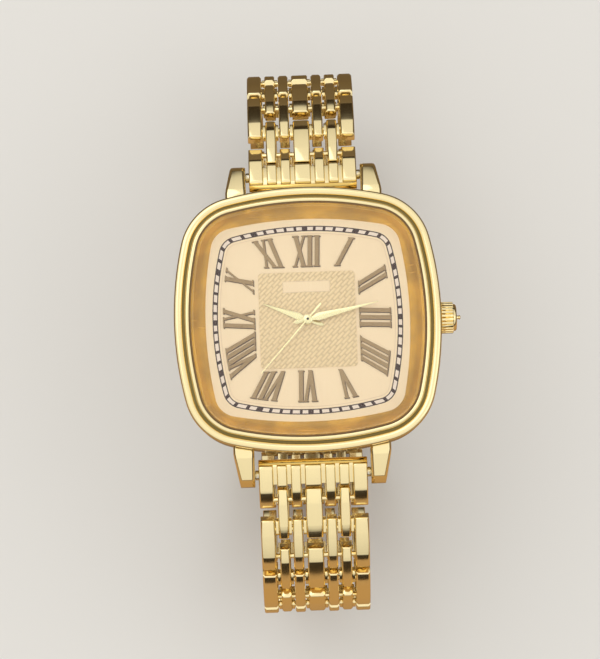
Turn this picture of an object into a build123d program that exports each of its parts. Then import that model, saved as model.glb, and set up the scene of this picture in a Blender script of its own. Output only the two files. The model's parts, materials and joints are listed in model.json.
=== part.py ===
from build123d import *

import os
from math import cos, degrees, pi, radians, sin, sqrt

# A small square quartz watch with bowed sides, closed on its bracelet of brick-laid links.
# Millimetres. The dial faces +Z, twelve o'clock is towards +Y and the crown towards +X.
# The origin is the centre of the case back's outer face.

# Case outline
CASE_HALF = 17.65
CASE_SIDE_RADIUS = 45.0
CASE_CORNER_RADIUS = 8.0
BODY_INSET = 0.25

# Case heights
BACK_THICKNESS = 0.8
BODY_LIFT = 0.5
BODY_HEIGHT = 4.8
BODY_CHAMFER = 0.9
BEZEL_HEIGHT = 1.8
SHOULDER_HEIGHT = 2.0
SEAT_HEIGHT = 1.15

# Bezel
SHOULDER_INSET = 1.25
SHOULDER_ROUND = 0.35
BEZEL_ROUND = 0.55
BEZEL_GROOVE_WIDTH = 0.15
BEZEL_GROOVE_DEPTH = 0.6
BEZEL_FOOT_CHAMFER = 0.35

# Crystal, gasket and flange
CRYSTAL_INSET = 2.25
CRYSTAL_THICKNESS = 0.9
CRYSTAL_CHAMFER = 0.2
GASKET_WALL = 0.2
GASKET_FLOOR = 0.05
SEAT_WIDTH = 0.3
FLANGE_CLEARANCE = 0.05
FLANGE_TOP_WIDTH = 0.25

# Dial
DIAL_INSET = 3.35
DIAL_THICKNESS = 0.4
DIAL_SINK = 0.35
OPENING_INSET = 4.15
OPENING_SIDE_RADIUS = 52.0
OPENING_CORNER_RADIUS = 3.0
CENTRE_WIDTH = 13.0
CENTRE_LENGTH = 12.8
CENTRE_ROUND = 0.5
CENTRE_RISE = 0.1
DIAL_HOLE_RADIUS = 0.8

# Case back
BACK_INSET = 2.05
BACK_CLEARANCE = 0.05
BACK_CHAMFER = 0.25
SPIGOT_CLEARANCE = 0.1
SPIGOT_WALL = 0.7
SPIGOT_HEIGHT = 0.9
CAVITY_INSET = 3.65
BACK_GASKET_WIDTH = 0.5
BACK_GASKET_HEIGHT = 0.45

# Lugs
LUG_CLEARANCE = 0.5
LUG_WIDTH = 2.7
LUG_TIP_WIDTH = 1.9
LUG_LAP = 1.85
LUG_TOP = 4.9
LUG_KNEE_LENGTH = 2.85
LUG_KNEE_TOP = 3.35
LUG_LENGTH = 3.9
LUG_TIP_TOP = 1.9
LUG_TIP_FOOT = 0.5
LUG_HEEL_LENGTH = 2.25
LUG_FOOT = 0.2
LUG_CHAMFER = 0.3

# Spring bars
BAR_DISTANCE = 2.35
BAR_HEIGHT = 1.7
BAR_RADIUS = 0.65
BAR_TIP_RADIUS = 0.4
BAR_TIP_LENGTH = 1.6
BAR_END_PLAY = 0.05
RUNNING_CLEARANCE = 0.05

# Bracelet links
OUTER_LINK_WIDTH = 1.9
INNER_LINK_WIDTH = 1.35
CENTRE_LINK_WIDTH = 2.2
COLUMN_GAP = 0.5
LINK_PITCH = 4.2
LINK_OVERHANG = 1.8
LINK_THICKNESS = 2.2
CROWN_DROP = 0.45
CROWN_FLAT = 3.4
LINK_FOOT_CHAMFER = 0.4
LINK_EDGE_CHAMFER = 0.25
PIN_RADIUS = 0.35
PIN_SIDES = 8
ROWS = 12

# End links
END_LINK_LENGTH = 3.4
END_NOSE_REACH = 2.0
END_NOSE_CHAMFER = 0.45
END_LOBE_REACH = 1.2
END_WEB_LENGTH = 1.2
END_WEB_THICKNESS = 1.7

# Course of the closed bracelet, as headings in degrees below the horizontal
FIRST_HEADING = 20.0
FLATTENING = 16.0

# Clasp
CLASP_LENGTH = 32.0
CLASP_RADIUS = 60.0
COVER_TOP = 1.35
COVER_THICKNESS = 0.6
COVER_WALL = 0.6
COVER_WALL_DEPTH = 1.15
COVER_START = 2.3
CLASP_KNUCKLE_RADIUS = 1.0
BLADE_THICKNESS = 0.45
BLADE_WIDTH = 9.0
BLADE_TOP = 0.6
LOWER_BLADE_TOP = -0.45
LOWER_BLADE_WIDTH = 11.6
HINGE_A_SETBACK = 4.0
HINGE_A_HEIGHT = 0.1
HINGE_B_PLACE = 4.6
HINGE_B_HEIGHT = -0.15
HINGE_TUBE_RADIUS = 0.5
HINGE_PIN_RADIUS = 0.25
MIDDLE_KNUCKLE_WIDTH = 6.0
HINGE_SIDE_PLAY = 0.1
CATCH_WIDTH = 2.4
CATCH_LENGTH = 0.5
CATCH_RISE = 1.1
CATCH_SETBACK = 2.95

# Crown and stem
STEM_HEIGHT = 3.0
STEM_RADIUS = 0.4
STEM_START = 4.6
STEM_LAP = 1.4
STEM_NECK_RADIUS = 0.25
STEM_NECK_START = 6.6
STEM_NECK_LENGTH = 0.5
SLIDING_PINION_RADIUS = 0.7
SLIDING_PINION_START = 5.0
SLIDING_PINION_LENGTH = 1.0
TUBE_RADIUS = 0.9
TUBE_REACH = 0.65
CROWN_CLEARANCE = 0.05
CROWN_LENGTH = 1.6
CROWN_RADIUS = 2.1
CROWN_FLUTES = 24
FLUTE_DEPTH = 0.16
CROWN_CAP_LENGTH = 0.45
CROWN_CAP_RADIUS = 1.75
CROWN_PIP_RADIUS = 0.3
CROWN_PIP_LENGTH = 0.55
LEVER_THICKNESS = 0.35
LEVER_REACH = 3.2
LEVER_HEIGHT = 1.1
LEVER_LAP = 0.35

# Movement
PLATE_WIDTH = 18.0
PLATE_LENGTH = 16.8
PLATE_THICKNESS = 0.85
PLATE_RIM = 0.7
PLATE_RIM_DROP = 2.1
PLATE_HOLE_RADIUS = 0.45
HOLDER_CLEARANCE = 0.05
MOTION_RECESS_RADIUS = 2.3
MOTION_RECESS_DEPTH = 0.5
BRIDGE_THICKNESS = 0.4
BRIDGE_LEFT = -5.6
BRIDGE_RIGHT = 2.2
BRIDGE_NEAR = -2.2
BATTERY_RADIUS = 3.4
BATTERY_THICKNESS = 2.1
BATTERY_X = 4.3
BATTERY_Y = -4.2
BATTERY_CHAMFER = 0.25
CLAMP_THICKNESS = 0.2
CLAMP_WIDTH = 2.4
BOARD_THICKNESS = 0.3
BOARD_LEFT = -5.0
BOARD_RIGHT = -0.8
BOARD_NEAR = -7.4
BOARD_FAR = -2.6
CHIP_SIZE = 1.6
CHIP_THICKNESS = 0.5
COIL_RADIUS = 1.1
COIL_X = -6.7
COIL_NEAR = -6.2
COIL_FAR = 2.6
CORE_WIDTH = 0.6
CORE_THICKNESS = 0.5
CORE_TOP = 3.1
CORE_LAP = 1.0
STATOR_THICKNESS = 0.3
STATOR_LEFT = -7.6
STATOR_RIGHT = -3.4
STATOR_NEAR = 3.4
STATOR_FAR = 5.8
POST_SIZE = 0.7
ROTOR_X = -4.5
ROTOR_Y = 4.6
ROTOR_RADIUS = 0.6
ROTOR_START = 2.7
ROTOR_LENGTH = 0.9
ROTOR_GAP = 0.1
ARBOR_RADIUS = 0.12
ARBOR_END_PLAY = 0.05
WHEEL_THICKNESS = 0.15
FOURTH_WHEEL_RADIUS = 1.9
FOURTH_WHEEL_START = 2.25
FOURTH_PINION_LENGTH = 0.45
WHEEL_SIDES = 12
MESH_CLEARANCE = 0.1
SECONDS_STEP = 7.5
MINUTES_STEP = 8.0
THIRD_X = -1.5
THIRD_Y = 1.61
THIRD_WHEEL_START = 2.55
CENTRE_WHEEL_START = 3.0
MINUTE_PIPE_RADIUS = 0.4
HOUR_PIPE_RADIUS = 0.7
HOUR_WHEEL_RADIUS = 2.1

# Hands
HAND_THICKNESS = 0.15
HOUR_HAND_LIFT = 0.25
HAND_STEP = 0.33
HOUR_HAND_REACH = 6.3
HOUR_HAND_TAIL = 1.9
HOUR_HAND_WIDTH = 1.3
MINUTE_HAND_REACH = 9.6
MINUTE_HAND_TAIL = 2.2
MINUTE_HAND_WIDTH = 1.1
SECOND_HAND_REACH = 9.55
SECOND_HAND_TAIL = 2.7
SECOND_HAND_WIDTH = 0.22
HUB_RADIUS = 0.95
SECOND_HUB_RADIUS = 0.5
HOUR_HAND_TURN = 291.0
MINUTE_HAND_TURN = 77.7
SECOND_HAND_TURN = 222.0
HAND_BELLY_SHARE = 0.26

# One overrun serves every through cut
OVERRUN = 1.0

# Half widths and reaches worked out from the sizes above
BODY_HALF = CASE_HALF - BODY_INSET
SHOULDER_HALF = CASE_HALF - SHOULDER_INSET
CRYSTAL_HALF = CASE_HALF - CRYSTAL_INSET
DIAL_HALF = CASE_HALF - DIAL_INSET
OPENING_HALF = CASE_HALF - OPENING_INSET
BACK_HALF = CASE_HALF - BACK_INSET
CAVITY_HALF = CASE_HALF - CAVITY_INSET
LUG_ROOT = CASE_HALF - LUG_LAP
LUG_SHOULDER = BODY_HALF
LUG_KNEE = CASE_HALF + LUG_KNEE_LENGTH
LUG_TIP = CASE_HALF + LUG_LENGTH
LUG_HEEL = CASE_HALF + LUG_HEEL_LENGTH
BAR_REACH = CASE_HALF + BAR_DISTANCE
TUBE_END = CASE_HALF + TUBE_REACH
CROWN_START = CASE_HALF + CROWN_CLEARANCE
STEM_END = CROWN_START + STEM_LAP
HINGE_A_PLACE = CLASP_LENGTH - HINGE_A_SETBACK

# Heights worked out from the sizes above
BODY_TOP = BODY_LIFT + BODY_HEIGHT
BEZEL_TOP = BODY_TOP + BEZEL_HEIGHT
SEAT_TOP = BODY_TOP + SEAT_HEIGHT
CRYSTAL_FOOT = SEAT_TOP + GASKET_FLOOR
DIAL_FOOT = BODY_TOP - DIAL_SINK
DIAL_TOP = DIAL_FOOT + DIAL_THICKNESS
PLATE_FOOT = DIAL_FOOT - PLATE_THICKNESS
RIM_FOOT = PLATE_FOOT - PLATE_RIM_DROP
SPIGOT_TOP = BACK_THICKNESS + SPIGOT_HEIGHT
HOUR_HAND_FOOT = DIAL_TOP + HOUR_HAND_LIFT
MINUTE_HAND_FOOT = HOUR_HAND_FOOT + HAND_STEP
SECOND_HAND_FOOT = MINUTE_HAND_FOOT + HAND_STEP
BAND_WIDTH = (2 * OUTER_LINK_WIDTH + 4 * INNER_LINK_WIDTH + CENTRE_LINK_WIDTH
              + 6 * COLUMN_GAP)
LUG_GAP_HALF = BAND_WIDTH / 2 + LUG_CLEARANCE


def bowed_square(half, side_radius, corner_radius):
    """Face of a square with bowed sides and round corners, half wide at the middle of a side."""
    centre = side_radius - half
    reach = side_radius - corner_radius
    corner = (sqrt(2 * reach**2 - centre**2) - centre) / 2
    along = (corner + corner_radius * (corner + centre) / reach,
             corner + corner_radius * corner / reach)
    tip = corner + corner_radius / sqrt(2)
    edges = []
    for quarter in range(4):
        turn = quarter * 90
        before, middle, start, bend, end = [
            Vector(x, y).rotate(Axis.Z, turn)
            for x, y in ((along[0], -along[1]), (half, 0), along, (tip, tip),
                         (along[1], along[0]))
        ]
        edges.append(ThreePointArc(before, middle, start))
        edges.append(ThreePointArc(start, bend, end))
    return make_face(edges)


def case_face(half):
    """Face that runs parallel to the outline of the case."""
    inset = CASE_HALF - half
    return bowed_square(half, CASE_SIDE_RADIUS - inset, CASE_CORNER_RADIUS - inset)


def slab(face, foot, top):
    """The face made solid from one height to another."""
    return Pos(0, 0, foot) * extrude(face, amount=top - foot)


def case_slab(half, foot, top):
    """A slab that runs parallel to the outline of the case."""
    return slab(case_face(half), foot, top)


def disc(radius, foot, top, x=0, y=0):
    """An upright cylinder between two heights."""
    return Pos(x, y, (foot + top) / 2) * Cylinder(radius, top - foot)


def wheel_disc(radius, foot, top, x=0, y=0):
    """An upright wheel of the movement, as a prism with few sides."""
    return Pos(x, y, 0) * slab(RegularPolygon(radius, WHEEL_SIDES), foot, top)


def block(left, right, near, far, foot, top):
    """A box between two places on each axis."""
    middle = Pos((left + right) / 2, (near + far) / 2, (foot + top) / 2)
    return middle * Box(right - left, far - near, top - foot)


def rod(radius, start, end, y=0, z=0):
    """A cylinder along X between two places."""
    return Pos((start + end) / 2, y, z) * Rot(0, 90, 0) * Cylinder(radius, end - start)


def eight_sided(radius):
    """Face of an eight-sided pin whose corners lie on the radius."""
    return RegularPolygon(radius, PIN_SIDES)


def bar(radius, start, end, y=0, z=0):
    """An eight-sided rod along X between two places."""
    return Pos(0, y, z) * prism(eight_sided(radius), start, end)


def prism(face, start, end):
    """A side-view face, drawn in Y and Z, made solid along X between two places."""
    return Pos(start, 0, 0) * extrude(Plane.YZ * face, amount=end - start)


def both_sides(start, end):
    """A span on the +X side and its mirror on the other."""
    return ((start, end), (-end, -start))


# Case

def make_lug():
    """The lug on the +X, +Y corner, tapered on its outer side."""
    side = make_face(Polyline(
        (LUG_ROOT, LUG_FOOT + BODY_LIFT), (LUG_ROOT, LUG_TOP), (LUG_SHOULDER, LUG_TOP),
        (LUG_KNEE, LUG_KNEE_TOP), (LUG_TIP, LUG_TIP_TOP), (LUG_TIP, LUG_TIP_FOOT),
        (LUG_HEEL, LUG_FOOT), close=True))
    outer = LUG_GAP_HALF + LUG_WIDTH
    tip = LUG_GAP_HALF + LUG_TIP_WIDTH
    plan = make_face(Polyline(
        (LUG_GAP_HALF, LUG_ROOT), (outer, LUG_ROOT), (outer, LUG_SHOULDER),
        (tip, LUG_TIP), (LUG_GAP_HALF, LUG_TIP), close=True))
    lug = prism(side, LUG_GAP_HALF, outer) & slab(plan, 0, LUG_TOP)
    top = [e for e in lug.edges()
           if e.center().Z > LUG_TIP_TOP and e.center().Y > LUG_SHOULDER
           and abs(e.tangent_at(0).X) < abs(e.tangent_at(0).Y)]
    return chamfer(top, LUG_CHAMFER)


def make_case_middle():
    """The body of the case with its four lugs and the tube that the crown covers."""
    body = case_slab(BODY_HALF, BODY_LIFT, BODY_TOP)
    body = chamfer(body.edges().group_by(Axis.Z)[0], BODY_CHAMFER)
    lug = make_lug()
    lugs = [lug, mirror(lug, about=Plane.YZ)]
    lugs += [mirror(one, about=Plane.XZ) for one in lugs]
    for one in lugs:
        body += one
    body += rod(TUBE_RADIUS, CAVITY_HALF + OVERRUN, TUBE_END, 0, STEM_HEIGHT)
    body -= case_slab(CAVITY_HALF, 0, BODY_TOP + OVERRUN)
    body -= case_slab(DIAL_HALF, DIAL_FOOT, BODY_TOP + OVERRUN)
    body -= case_slab(BACK_HALF + BACK_CLEARANCE, 0, BACK_THICKNESS)
    body -= case_slab(CAVITY_HALF + BACK_GASKET_WIDTH, BACK_THICKNESS,
                      BACK_THICKNESS + BACK_GASKET_HEIGHT)
    body -= rod(STEM_RADIUS + RUNNING_CLEARANCE, CAVITY_HALF - OVERRUN,
                TUBE_END + OVERRUN, 0, STEM_HEIGHT)
    for side in (1, -1):
        body -= rod(BAR_TIP_RADIUS + RUNNING_CLEARANCE, -CASE_HALF, CASE_HALF,
                    side * BAR_REACH, BAR_HEIGHT)
    return body


def make_bezel():
    """Two polished rings in one piece, with a dark groove between them and a seat inside."""
    outer = case_slab(CASE_HALF, BODY_TOP, BEZEL_TOP)
    outer = fillet(outer.edges().group_by(Axis.Z)[-1], BEZEL_ROUND)
    outer = chamfer(outer.edges().group_by(Axis.Z)[0], BEZEL_FOOT_CHAMFER)
    outer -= case_slab(SHOULDER_HALF + BEZEL_GROOVE_WIDTH, BEZEL_TOP - BEZEL_GROOVE_DEPTH,
                       BEZEL_TOP + OVERRUN)
    shoulder = case_slab(SHOULDER_HALF, BEZEL_TOP - BEZEL_GROOVE_DEPTH,
                         BODY_TOP + SHOULDER_HEIGHT)
    shoulder = fillet(shoulder.edges().group_by(Axis.Z)[-1], SHOULDER_ROUND)
    ring = outer + shoulder
    seat_half = CRYSTAL_HALF + GASKET_WALL
    ring -= case_slab(seat_half, SEAT_TOP, BEZEL_TOP + OVERRUN)
    ring -= case_slab(seat_half - SEAT_WIDTH, BODY_TOP - OVERRUN, SEAT_TOP + OVERRUN)
    return ring


def make_crystal():
    """Flat glass with a bevelled upper edge."""
    glass = case_slab(CRYSTAL_HALF, CRYSTAL_FOOT, CRYSTAL_FOOT + CRYSTAL_THICKNESS)
    return chamfer(glass.edges().group_by(Axis.Z)[-1], CRYSTAL_CHAMFER)


def make_crystal_gasket():
    """The L-shaped seal round and under the edge of the glass."""
    seal = case_slab(CRYSTAL_HALF + GASKET_WALL, SEAT_TOP,
                     CRYSTAL_FOOT + CRYSTAL_THICKNESS - CRYSTAL_CHAMFER)
    seal -= case_slab(CRYSTAL_HALF, CRYSTAL_FOOT, BEZEL_TOP + OVERRUN)
    return seal - case_slab(CRYSTAL_HALF + GASKET_WALL - SEAT_WIDTH, BODY_TOP, BEZEL_TOP)


def opening_face(half):
    """Face of the dial opening, whose corners are tighter than the case's."""
    inset = OPENING_HALF - half
    return bowed_square(half, OPENING_SIDE_RADIUS - inset, OPENING_CORNER_RADIUS)


def make_flange():
    """The sloped reflecting ring between the glass and the dial."""
    outer_half = CRYSTAL_HALF + GASKET_WALL - SEAT_WIDTH - FLANGE_CLEARANCE
    ring = case_slab(outer_half, DIAL_TOP, SEAT_TOP)
    slope = loft([Pos(0, 0, DIAL_TOP) * opening_face(OPENING_HALF),
                  Pos(0, 0, SEAT_TOP) * case_face(outer_half - FLANGE_TOP_WIDTH)],
                 ruled=True)
    return ring - slope


def make_dial():
    """The dial plate with its raised square centre."""
    plate = case_slab(DIAL_HALF, DIAL_FOOT, DIAL_TOP)
    centre = RectangleRounded(CENTRE_WIDTH, CENTRE_LENGTH, CENTRE_ROUND)
    plate += slab(centre, DIAL_TOP, DIAL_TOP + CENTRE_RISE)
    return plate - disc(DIAL_HOLE_RADIUS, DIAL_FOOT - OVERRUN, DIAL_TOP + OVERRUN)


def make_case_back():
    """The snap-on back with the wall that holds the movement in its place."""
    plate = case_slab(BACK_HALF, 0, BACK_THICKNESS)
    plate = chamfer(plate.edges().group_by(Axis.Z)[0], BACK_CHAMFER)
    wall_half = CAVITY_HALF - SPIGOT_CLEARANCE
    wall = case_slab(wall_half, BACK_THICKNESS, SPIGOT_TOP)
    wall -= case_slab(wall_half - SPIGOT_WALL, BACK_THICKNESS, SPIGOT_TOP + OVERRUN)
    return plate + wall


def make_back_gasket():
    """The seal in the angle between the case and the wall of the back."""
    top = BACK_THICKNESS + BACK_GASKET_HEIGHT
    seal = case_slab(CAVITY_HALF + BACK_GASKET_WIDTH, BACK_THICKNESS, top)
    return seal - case_slab(CAVITY_HALF - SPIGOT_CLEARANCE, BACK_THICKNESS, top)


def make_spring_bars():
    """The two bars that carry the end links between the lugs."""
    half = LUG_GAP_HALF - BAR_END_PLAY
    shaft = rod(BAR_RADIUS, -half, half)
    shaft += rod(BAR_TIP_RADIUS, -half - BAR_TIP_LENGTH, half + BAR_TIP_LENGTH)
    return Compound(children=[
        Pos(0, side * BAR_REACH, BAR_HEIGHT) * shaft for side in (1, -1)])


# Crown

def make_crown():
    """Fluted crown with a domed cap and a small round pip at its centre."""
    points = []
    for step in range(2 * CROWN_FLUTES):
        radius = CROWN_RADIUS - (FLUTE_DEPTH if step % 2 else 0)
        angle = step * pi / CROWN_FLUTES
        points.append((radius * cos(angle), radius * sin(angle)))
    grip_end = CROWN_START + CROWN_LENGTH
    cap_end = grip_end + CROWN_CAP_LENGTH
    knob = prism(make_face(Polyline(*points, close=True)), CROWN_START, grip_end)
    pip_end = cap_end + CROWN_PIP_LENGTH
    ball = pip_end - CROWN_PIP_RADIUS
    slant = CROWN_PIP_RADIUS * sin(pi / 4)
    cap = make_face([
        Polyline((grip_end, 0), (grip_end, CROWN_RADIUS - FLUTE_DEPTH),
                 (cap_end, CROWN_CAP_RADIUS), (cap_end, CROWN_PIP_RADIUS),
                 (ball, CROWN_PIP_RADIUS)),
        ThreePointArc((ball, CROWN_PIP_RADIUS), (ball + slant, slant), (pip_end, 0)),
        Line((pip_end, 0), (grip_end, 0))])
    knob += revolve(cap, Axis.X)
    knob -= rod(TUBE_RADIUS + RUNNING_CLEARANCE, CROWN_START - OVERRUN,
                TUBE_END + RUNNING_CLEARANCE)
    knob -= rod(STEM_RADIUS, CROWN_START - OVERRUN, STEM_END)
    return Pos(0, 0, STEM_HEIGHT) * knob


def make_stem():
    """The stem with its sliding pinion and the neck that the setting lever holds."""
    stem = rod(STEM_RADIUS, STEM_START, STEM_END)
    stem += rod(SLIDING_PINION_RADIUS, SLIDING_PINION_START,
                SLIDING_PINION_START + SLIDING_PINION_LENGTH)
    neck = rod(STEM_RADIUS, STEM_NECK_START, STEM_NECK_START + STEM_NECK_LENGTH)
    neck -= rod(STEM_NECK_RADIUS, STEM_NECK_START, STEM_NECK_START + STEM_NECK_LENGTH)
    return Pos(0, 0, STEM_HEIGHT) * (stem - neck)


def make_setting_lever():
    """The forked plate that sits in the neck of the stem and slides with it."""
    middle = STEM_NECK_START + STEM_NECK_LENGTH / 2
    left = middle - LEVER_THICKNESS / 2
    right = middle + LEVER_THICKNESS / 2
    fork = STEM_NECK_RADIUS + RUNNING_CLEARANCE
    foot = STEM_HEIGHT - LEVER_HEIGHT / 2
    plate = block(left, right, -LEVER_LAP, LEVER_REACH, foot, foot + LEVER_HEIGHT)
    return plate - block(left, right, -LEVER_LAP, fork,
                         STEM_HEIGHT - fork, STEM_HEIGHT + fork)


# Movement

def make_main_plate():
    """The plate behind the dial with the rim and posts that carry the movement's pieces."""
    half_width = PLATE_WIDTH / 2
    half_length = PLATE_LENGTH / 2
    plate = block(-half_width, half_width, -half_length, half_length, RIM_FOOT, DIAL_FOOT)
    plate -= block(-half_width + PLATE_RIM, half_width - PLATE_RIM,
                   -half_length + PLATE_RIM, half_length - PLATE_RIM, RIM_FOOT, PLATE_FOOT)
    plate -= disc(PLATE_HOLE_RADIUS, PLATE_FOOT - OVERRUN, DIAL_FOOT + OVERRUN)
    plate -= disc(MOTION_RECESS_RADIUS, DIAL_FOOT - MOTION_RECESS_DEPTH, DIAL_FOOT)
    plate -= rod(STEM_RADIUS + RUNNING_CLEARANCE, half_width - PLATE_RIM - OVERRUN,
                 half_width + OVERRUN, 0, STEM_HEIGHT)
    half_post = POST_SIZE / 2
    for x, y, foot in (
            (COIL_X, COIL_NEAR - half_post, CORE_TOP),
            (STATOR_LEFT + half_post, STATOR_FAR - half_post, CORE_TOP + STATOR_THICKNESS),
            (STATOR_RIGHT - half_post, STATOR_FAR - half_post,
             CORE_TOP + STATOR_THICKNESS)):
        plate += block(x - half_post, x + half_post, y - half_post, y + half_post,
                       foot, PLATE_FOOT)
    return plate


def make_movement_holder():
    """The plastic frame that centres the movement in the case."""
    half_width = PLATE_WIDTH / 2 + HOLDER_CLEARANCE
    half_length = PLATE_LENGTH / 2 + HOLDER_CLEARANCE
    frame = case_slab(CAVITY_HALF - SPIGOT_CLEARANCE, SPIGOT_TOP, DIAL_FOOT)
    frame -= block(-half_width, half_width, -half_length, half_length,
                   SPIGOT_TOP - OVERRUN, DIAL_FOOT + OVERRUN)
    return frame - rod(STEM_RADIUS + RUNNING_CLEARANCE, half_width - OVERRUN, CASE_HALF,
                       0, STEM_HEIGHT)


def make_train_bridge():
    """The plate that closes the wheel train, lying on the rim of the main plate."""
    return block(BRIDGE_LEFT, BRIDGE_RIGHT, BRIDGE_NEAR, PLATE_LENGTH / 2,
                 RIM_FOOT - BRIDGE_THICKNESS, RIM_FOOT)


def make_battery():
    """The button cell, lying against the main plate."""
    cell = disc(BATTERY_RADIUS, PLATE_FOOT - BATTERY_THICKNESS, PLATE_FOOT,
                BATTERY_X, BATTERY_Y)
    return chamfer(cell.edges().group_by(Axis.Z)[0], BATTERY_CHAMFER)


def make_battery_clamp():
    """The spring strip across the cell, resting on the rim at both ends."""
    foot = PLATE_FOOT - BATTERY_THICKNESS
    strip = block(BATTERY_X - CLAMP_WIDTH / 2, PLATE_WIDTH / 2,
                  BATTERY_Y - CLAMP_WIDTH / 2, BATTERY_Y + CLAMP_WIDTH / 2,
                  foot - CLAMP_THICKNESS, foot)
    tail = block(BATTERY_X - CLAMP_WIDTH / 2, BATTERY_X + CLAMP_WIDTH / 2,
                 -PLATE_LENGTH / 2, BATTERY_Y, foot - CLAMP_THICKNESS, foot)
    return strip + tail


def make_circuit_board():
    """The circuit board against the main plate, with its chip."""
    board = block(BOARD_LEFT, BOARD_RIGHT, BOARD_NEAR, BOARD_FAR,
                  PLATE_FOOT - BOARD_THICKNESS, PLATE_FOOT)
    x = (BOARD_LEFT + BOARD_RIGHT) / 2
    y = (BOARD_NEAR + BOARD_FAR) / 2
    half = CHIP_SIZE / 2
    foot = PLATE_FOOT - BOARD_THICKNESS
    return board + block(x - half, x + half, y - half, y + half,
                         foot - CHIP_THICKNESS, foot)


def make_coil():
    """The motor's winding and the iron core through it."""
    half = CORE_WIDTH / 2
    foot = CORE_TOP - CORE_THICKNESS
    core = block(COIL_X - half, COIL_X + half, COIL_NEAR - POST_SIZE,
                 STATOR_NEAR + CORE_LAP, foot, CORE_TOP)
    axis_height = CORE_TOP - CORE_THICKNESS / 2
    winding = (Pos(COIL_X, (COIL_NEAR + COIL_FAR) / 2, axis_height) * Rot(90, 0, 0)
               * Cylinder(COIL_RADIUS, COIL_FAR - COIL_NEAR))
    return Compound(children=[core, winding - core])


def make_stator():
    """The flat iron plate of the motor, with the rotor's hole."""
    plate = block(STATOR_LEFT, STATOR_RIGHT, STATOR_NEAR, STATOR_FAR,
                  CORE_TOP, CORE_TOP + STATOR_THICKNESS)
    return plate - disc(ROTOR_RADIUS + ROTOR_GAP, CORE_TOP - OVERRUN, PLATE_FOOT,
                        ROTOR_X, ROTOR_Y)


def make_rotor():
    """The magnet of the motor on its arbor."""
    arbor = wheel_disc(ARBOR_RADIUS, RIM_FOOT + ARBOR_END_PLAY, PLATE_FOOT - ARBOR_END_PLAY,
                       ROTOR_X, ROTOR_Y)
    return arbor + disc(ROTOR_RADIUS, ROTOR_START, ROTOR_START + ROTOR_LENGTH,
                        ROTOR_X, ROTOR_Y)


def mesh(step):
    """Radii of a wheel and its pinion between the centre and the third wheel's arbor."""
    distance = sqrt(THIRD_X**2 + THIRD_Y**2)
    pinion = distance / (1 + step)
    return distance - pinion - MESH_CLEARANCE / 2, pinion - MESH_CLEARANCE / 2


def make_third_wheel():
    """The wheel and pinion between the fourth wheel and the centre wheel."""
    wheel = mesh(SECONDS_STEP)[0]
    pinion = mesh(MINUTES_STEP)[1]
    return (wheel_disc(ARBOR_RADIUS, RIM_FOOT + ARBOR_END_PLAY, PLATE_FOOT - ARBOR_END_PLAY,
                       THIRD_X, THIRD_Y)
            + wheel_disc(wheel, THIRD_WHEEL_START, THIRD_WHEEL_START + WHEEL_THICKNESS,
                         THIRD_X, THIRD_Y)
            + wheel_disc(pinion, THIRD_WHEEL_START + WHEEL_THICKNESS,
                         CENTRE_WHEEL_START + WHEEL_THICKNESS, THIRD_X, THIRD_Y))


def make_fourth_wheel():
    """The seconds wheel, whose long arbor carries the second hand."""
    wheel_top = FOURTH_WHEEL_START + WHEEL_THICKNESS
    return (wheel_disc(ARBOR_RADIUS, RIM_FOOT + ARBOR_END_PLAY, SECOND_HAND_FOOT)
            + wheel_disc(FOURTH_WHEEL_RADIUS, FOURTH_WHEEL_START, wheel_top)
            + wheel_disc(mesh(SECONDS_STEP)[1], wheel_top,
                         wheel_top + FOURTH_PINION_LENGTH))


def make_centre_wheel():
    """The minute wheel and the pipe that carries the minute hand."""
    top = MINUTE_HAND_FOOT + HAND_THICKNESS
    wheel = wheel_disc(mesh(MINUTES_STEP)[0], CENTRE_WHEEL_START,
                       CENTRE_WHEEL_START + WHEEL_THICKNESS)
    wheel += disc(MINUTE_PIPE_RADIUS, CENTRE_WHEEL_START, top)
    return wheel - disc(ARBOR_RADIUS + RUNNING_CLEARANCE, CENTRE_WHEEL_START - OVERRUN,
                        top + OVERRUN)


def make_hour_wheel():
    """The hour wheel in its recess behind the dial, and the pipe of the hour hand."""
    foot = DIAL_FOOT - MOTION_RECESS_DEPTH + ARBOR_END_PLAY
    top = HOUR_HAND_FOOT + HAND_THICKNESS
    wheel = wheel_disc(HOUR_WHEEL_RADIUS, foot, foot + WHEEL_THICKNESS)
    wheel += disc(HOUR_PIPE_RADIUS, foot, top)
    return wheel - disc(MINUTE_PIPE_RADIUS + RUNNING_CLEARANCE, foot - OVERRUN,
                        top + OVERRUN)


# Hands

def make_hand(reach, tail, width, hub, hole, foot, turn):
    """A lance-shaped hand, widest near its hub, turned clockwise from twelve o'clock."""
    half = width / 2
    belly = reach * HAND_BELLY_SHARE
    outline = make_face(Polyline(
        (0, reach), (half, belly), (half * HAND_BELLY_SHARE, 0), (half, -tail),
        (-half, -tail), (-half * HAND_BELLY_SHARE, 0), (-half, belly), close=True))
    blade = slab(outline, foot, foot + HAND_THICKNESS)
    blade += wheel_disc(hub, foot, foot + HAND_THICKNESS)
    if hole:
        blade -= disc(hole, foot - OVERRUN, foot + OVERRUN)
    return Rot(0, 0, -turn) * blade


# Bracelet

def pin(place=0):
    """A bracelet pin across the whole band, at a place along the link."""
    return bar(PIN_RADIUS, -BAND_WIDTH / 2, BAND_WIDTH / 2, place)


def bore(radius, place=0):
    """The cut for a pin that turns in its link, clear of the pin across its flats."""
    half = BAND_WIDTH / 2 + OVERRUN
    return bar((radius + RUNNING_CLEARANCE) / cos(pi / PIN_SIDES), -half, half, place)


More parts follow.
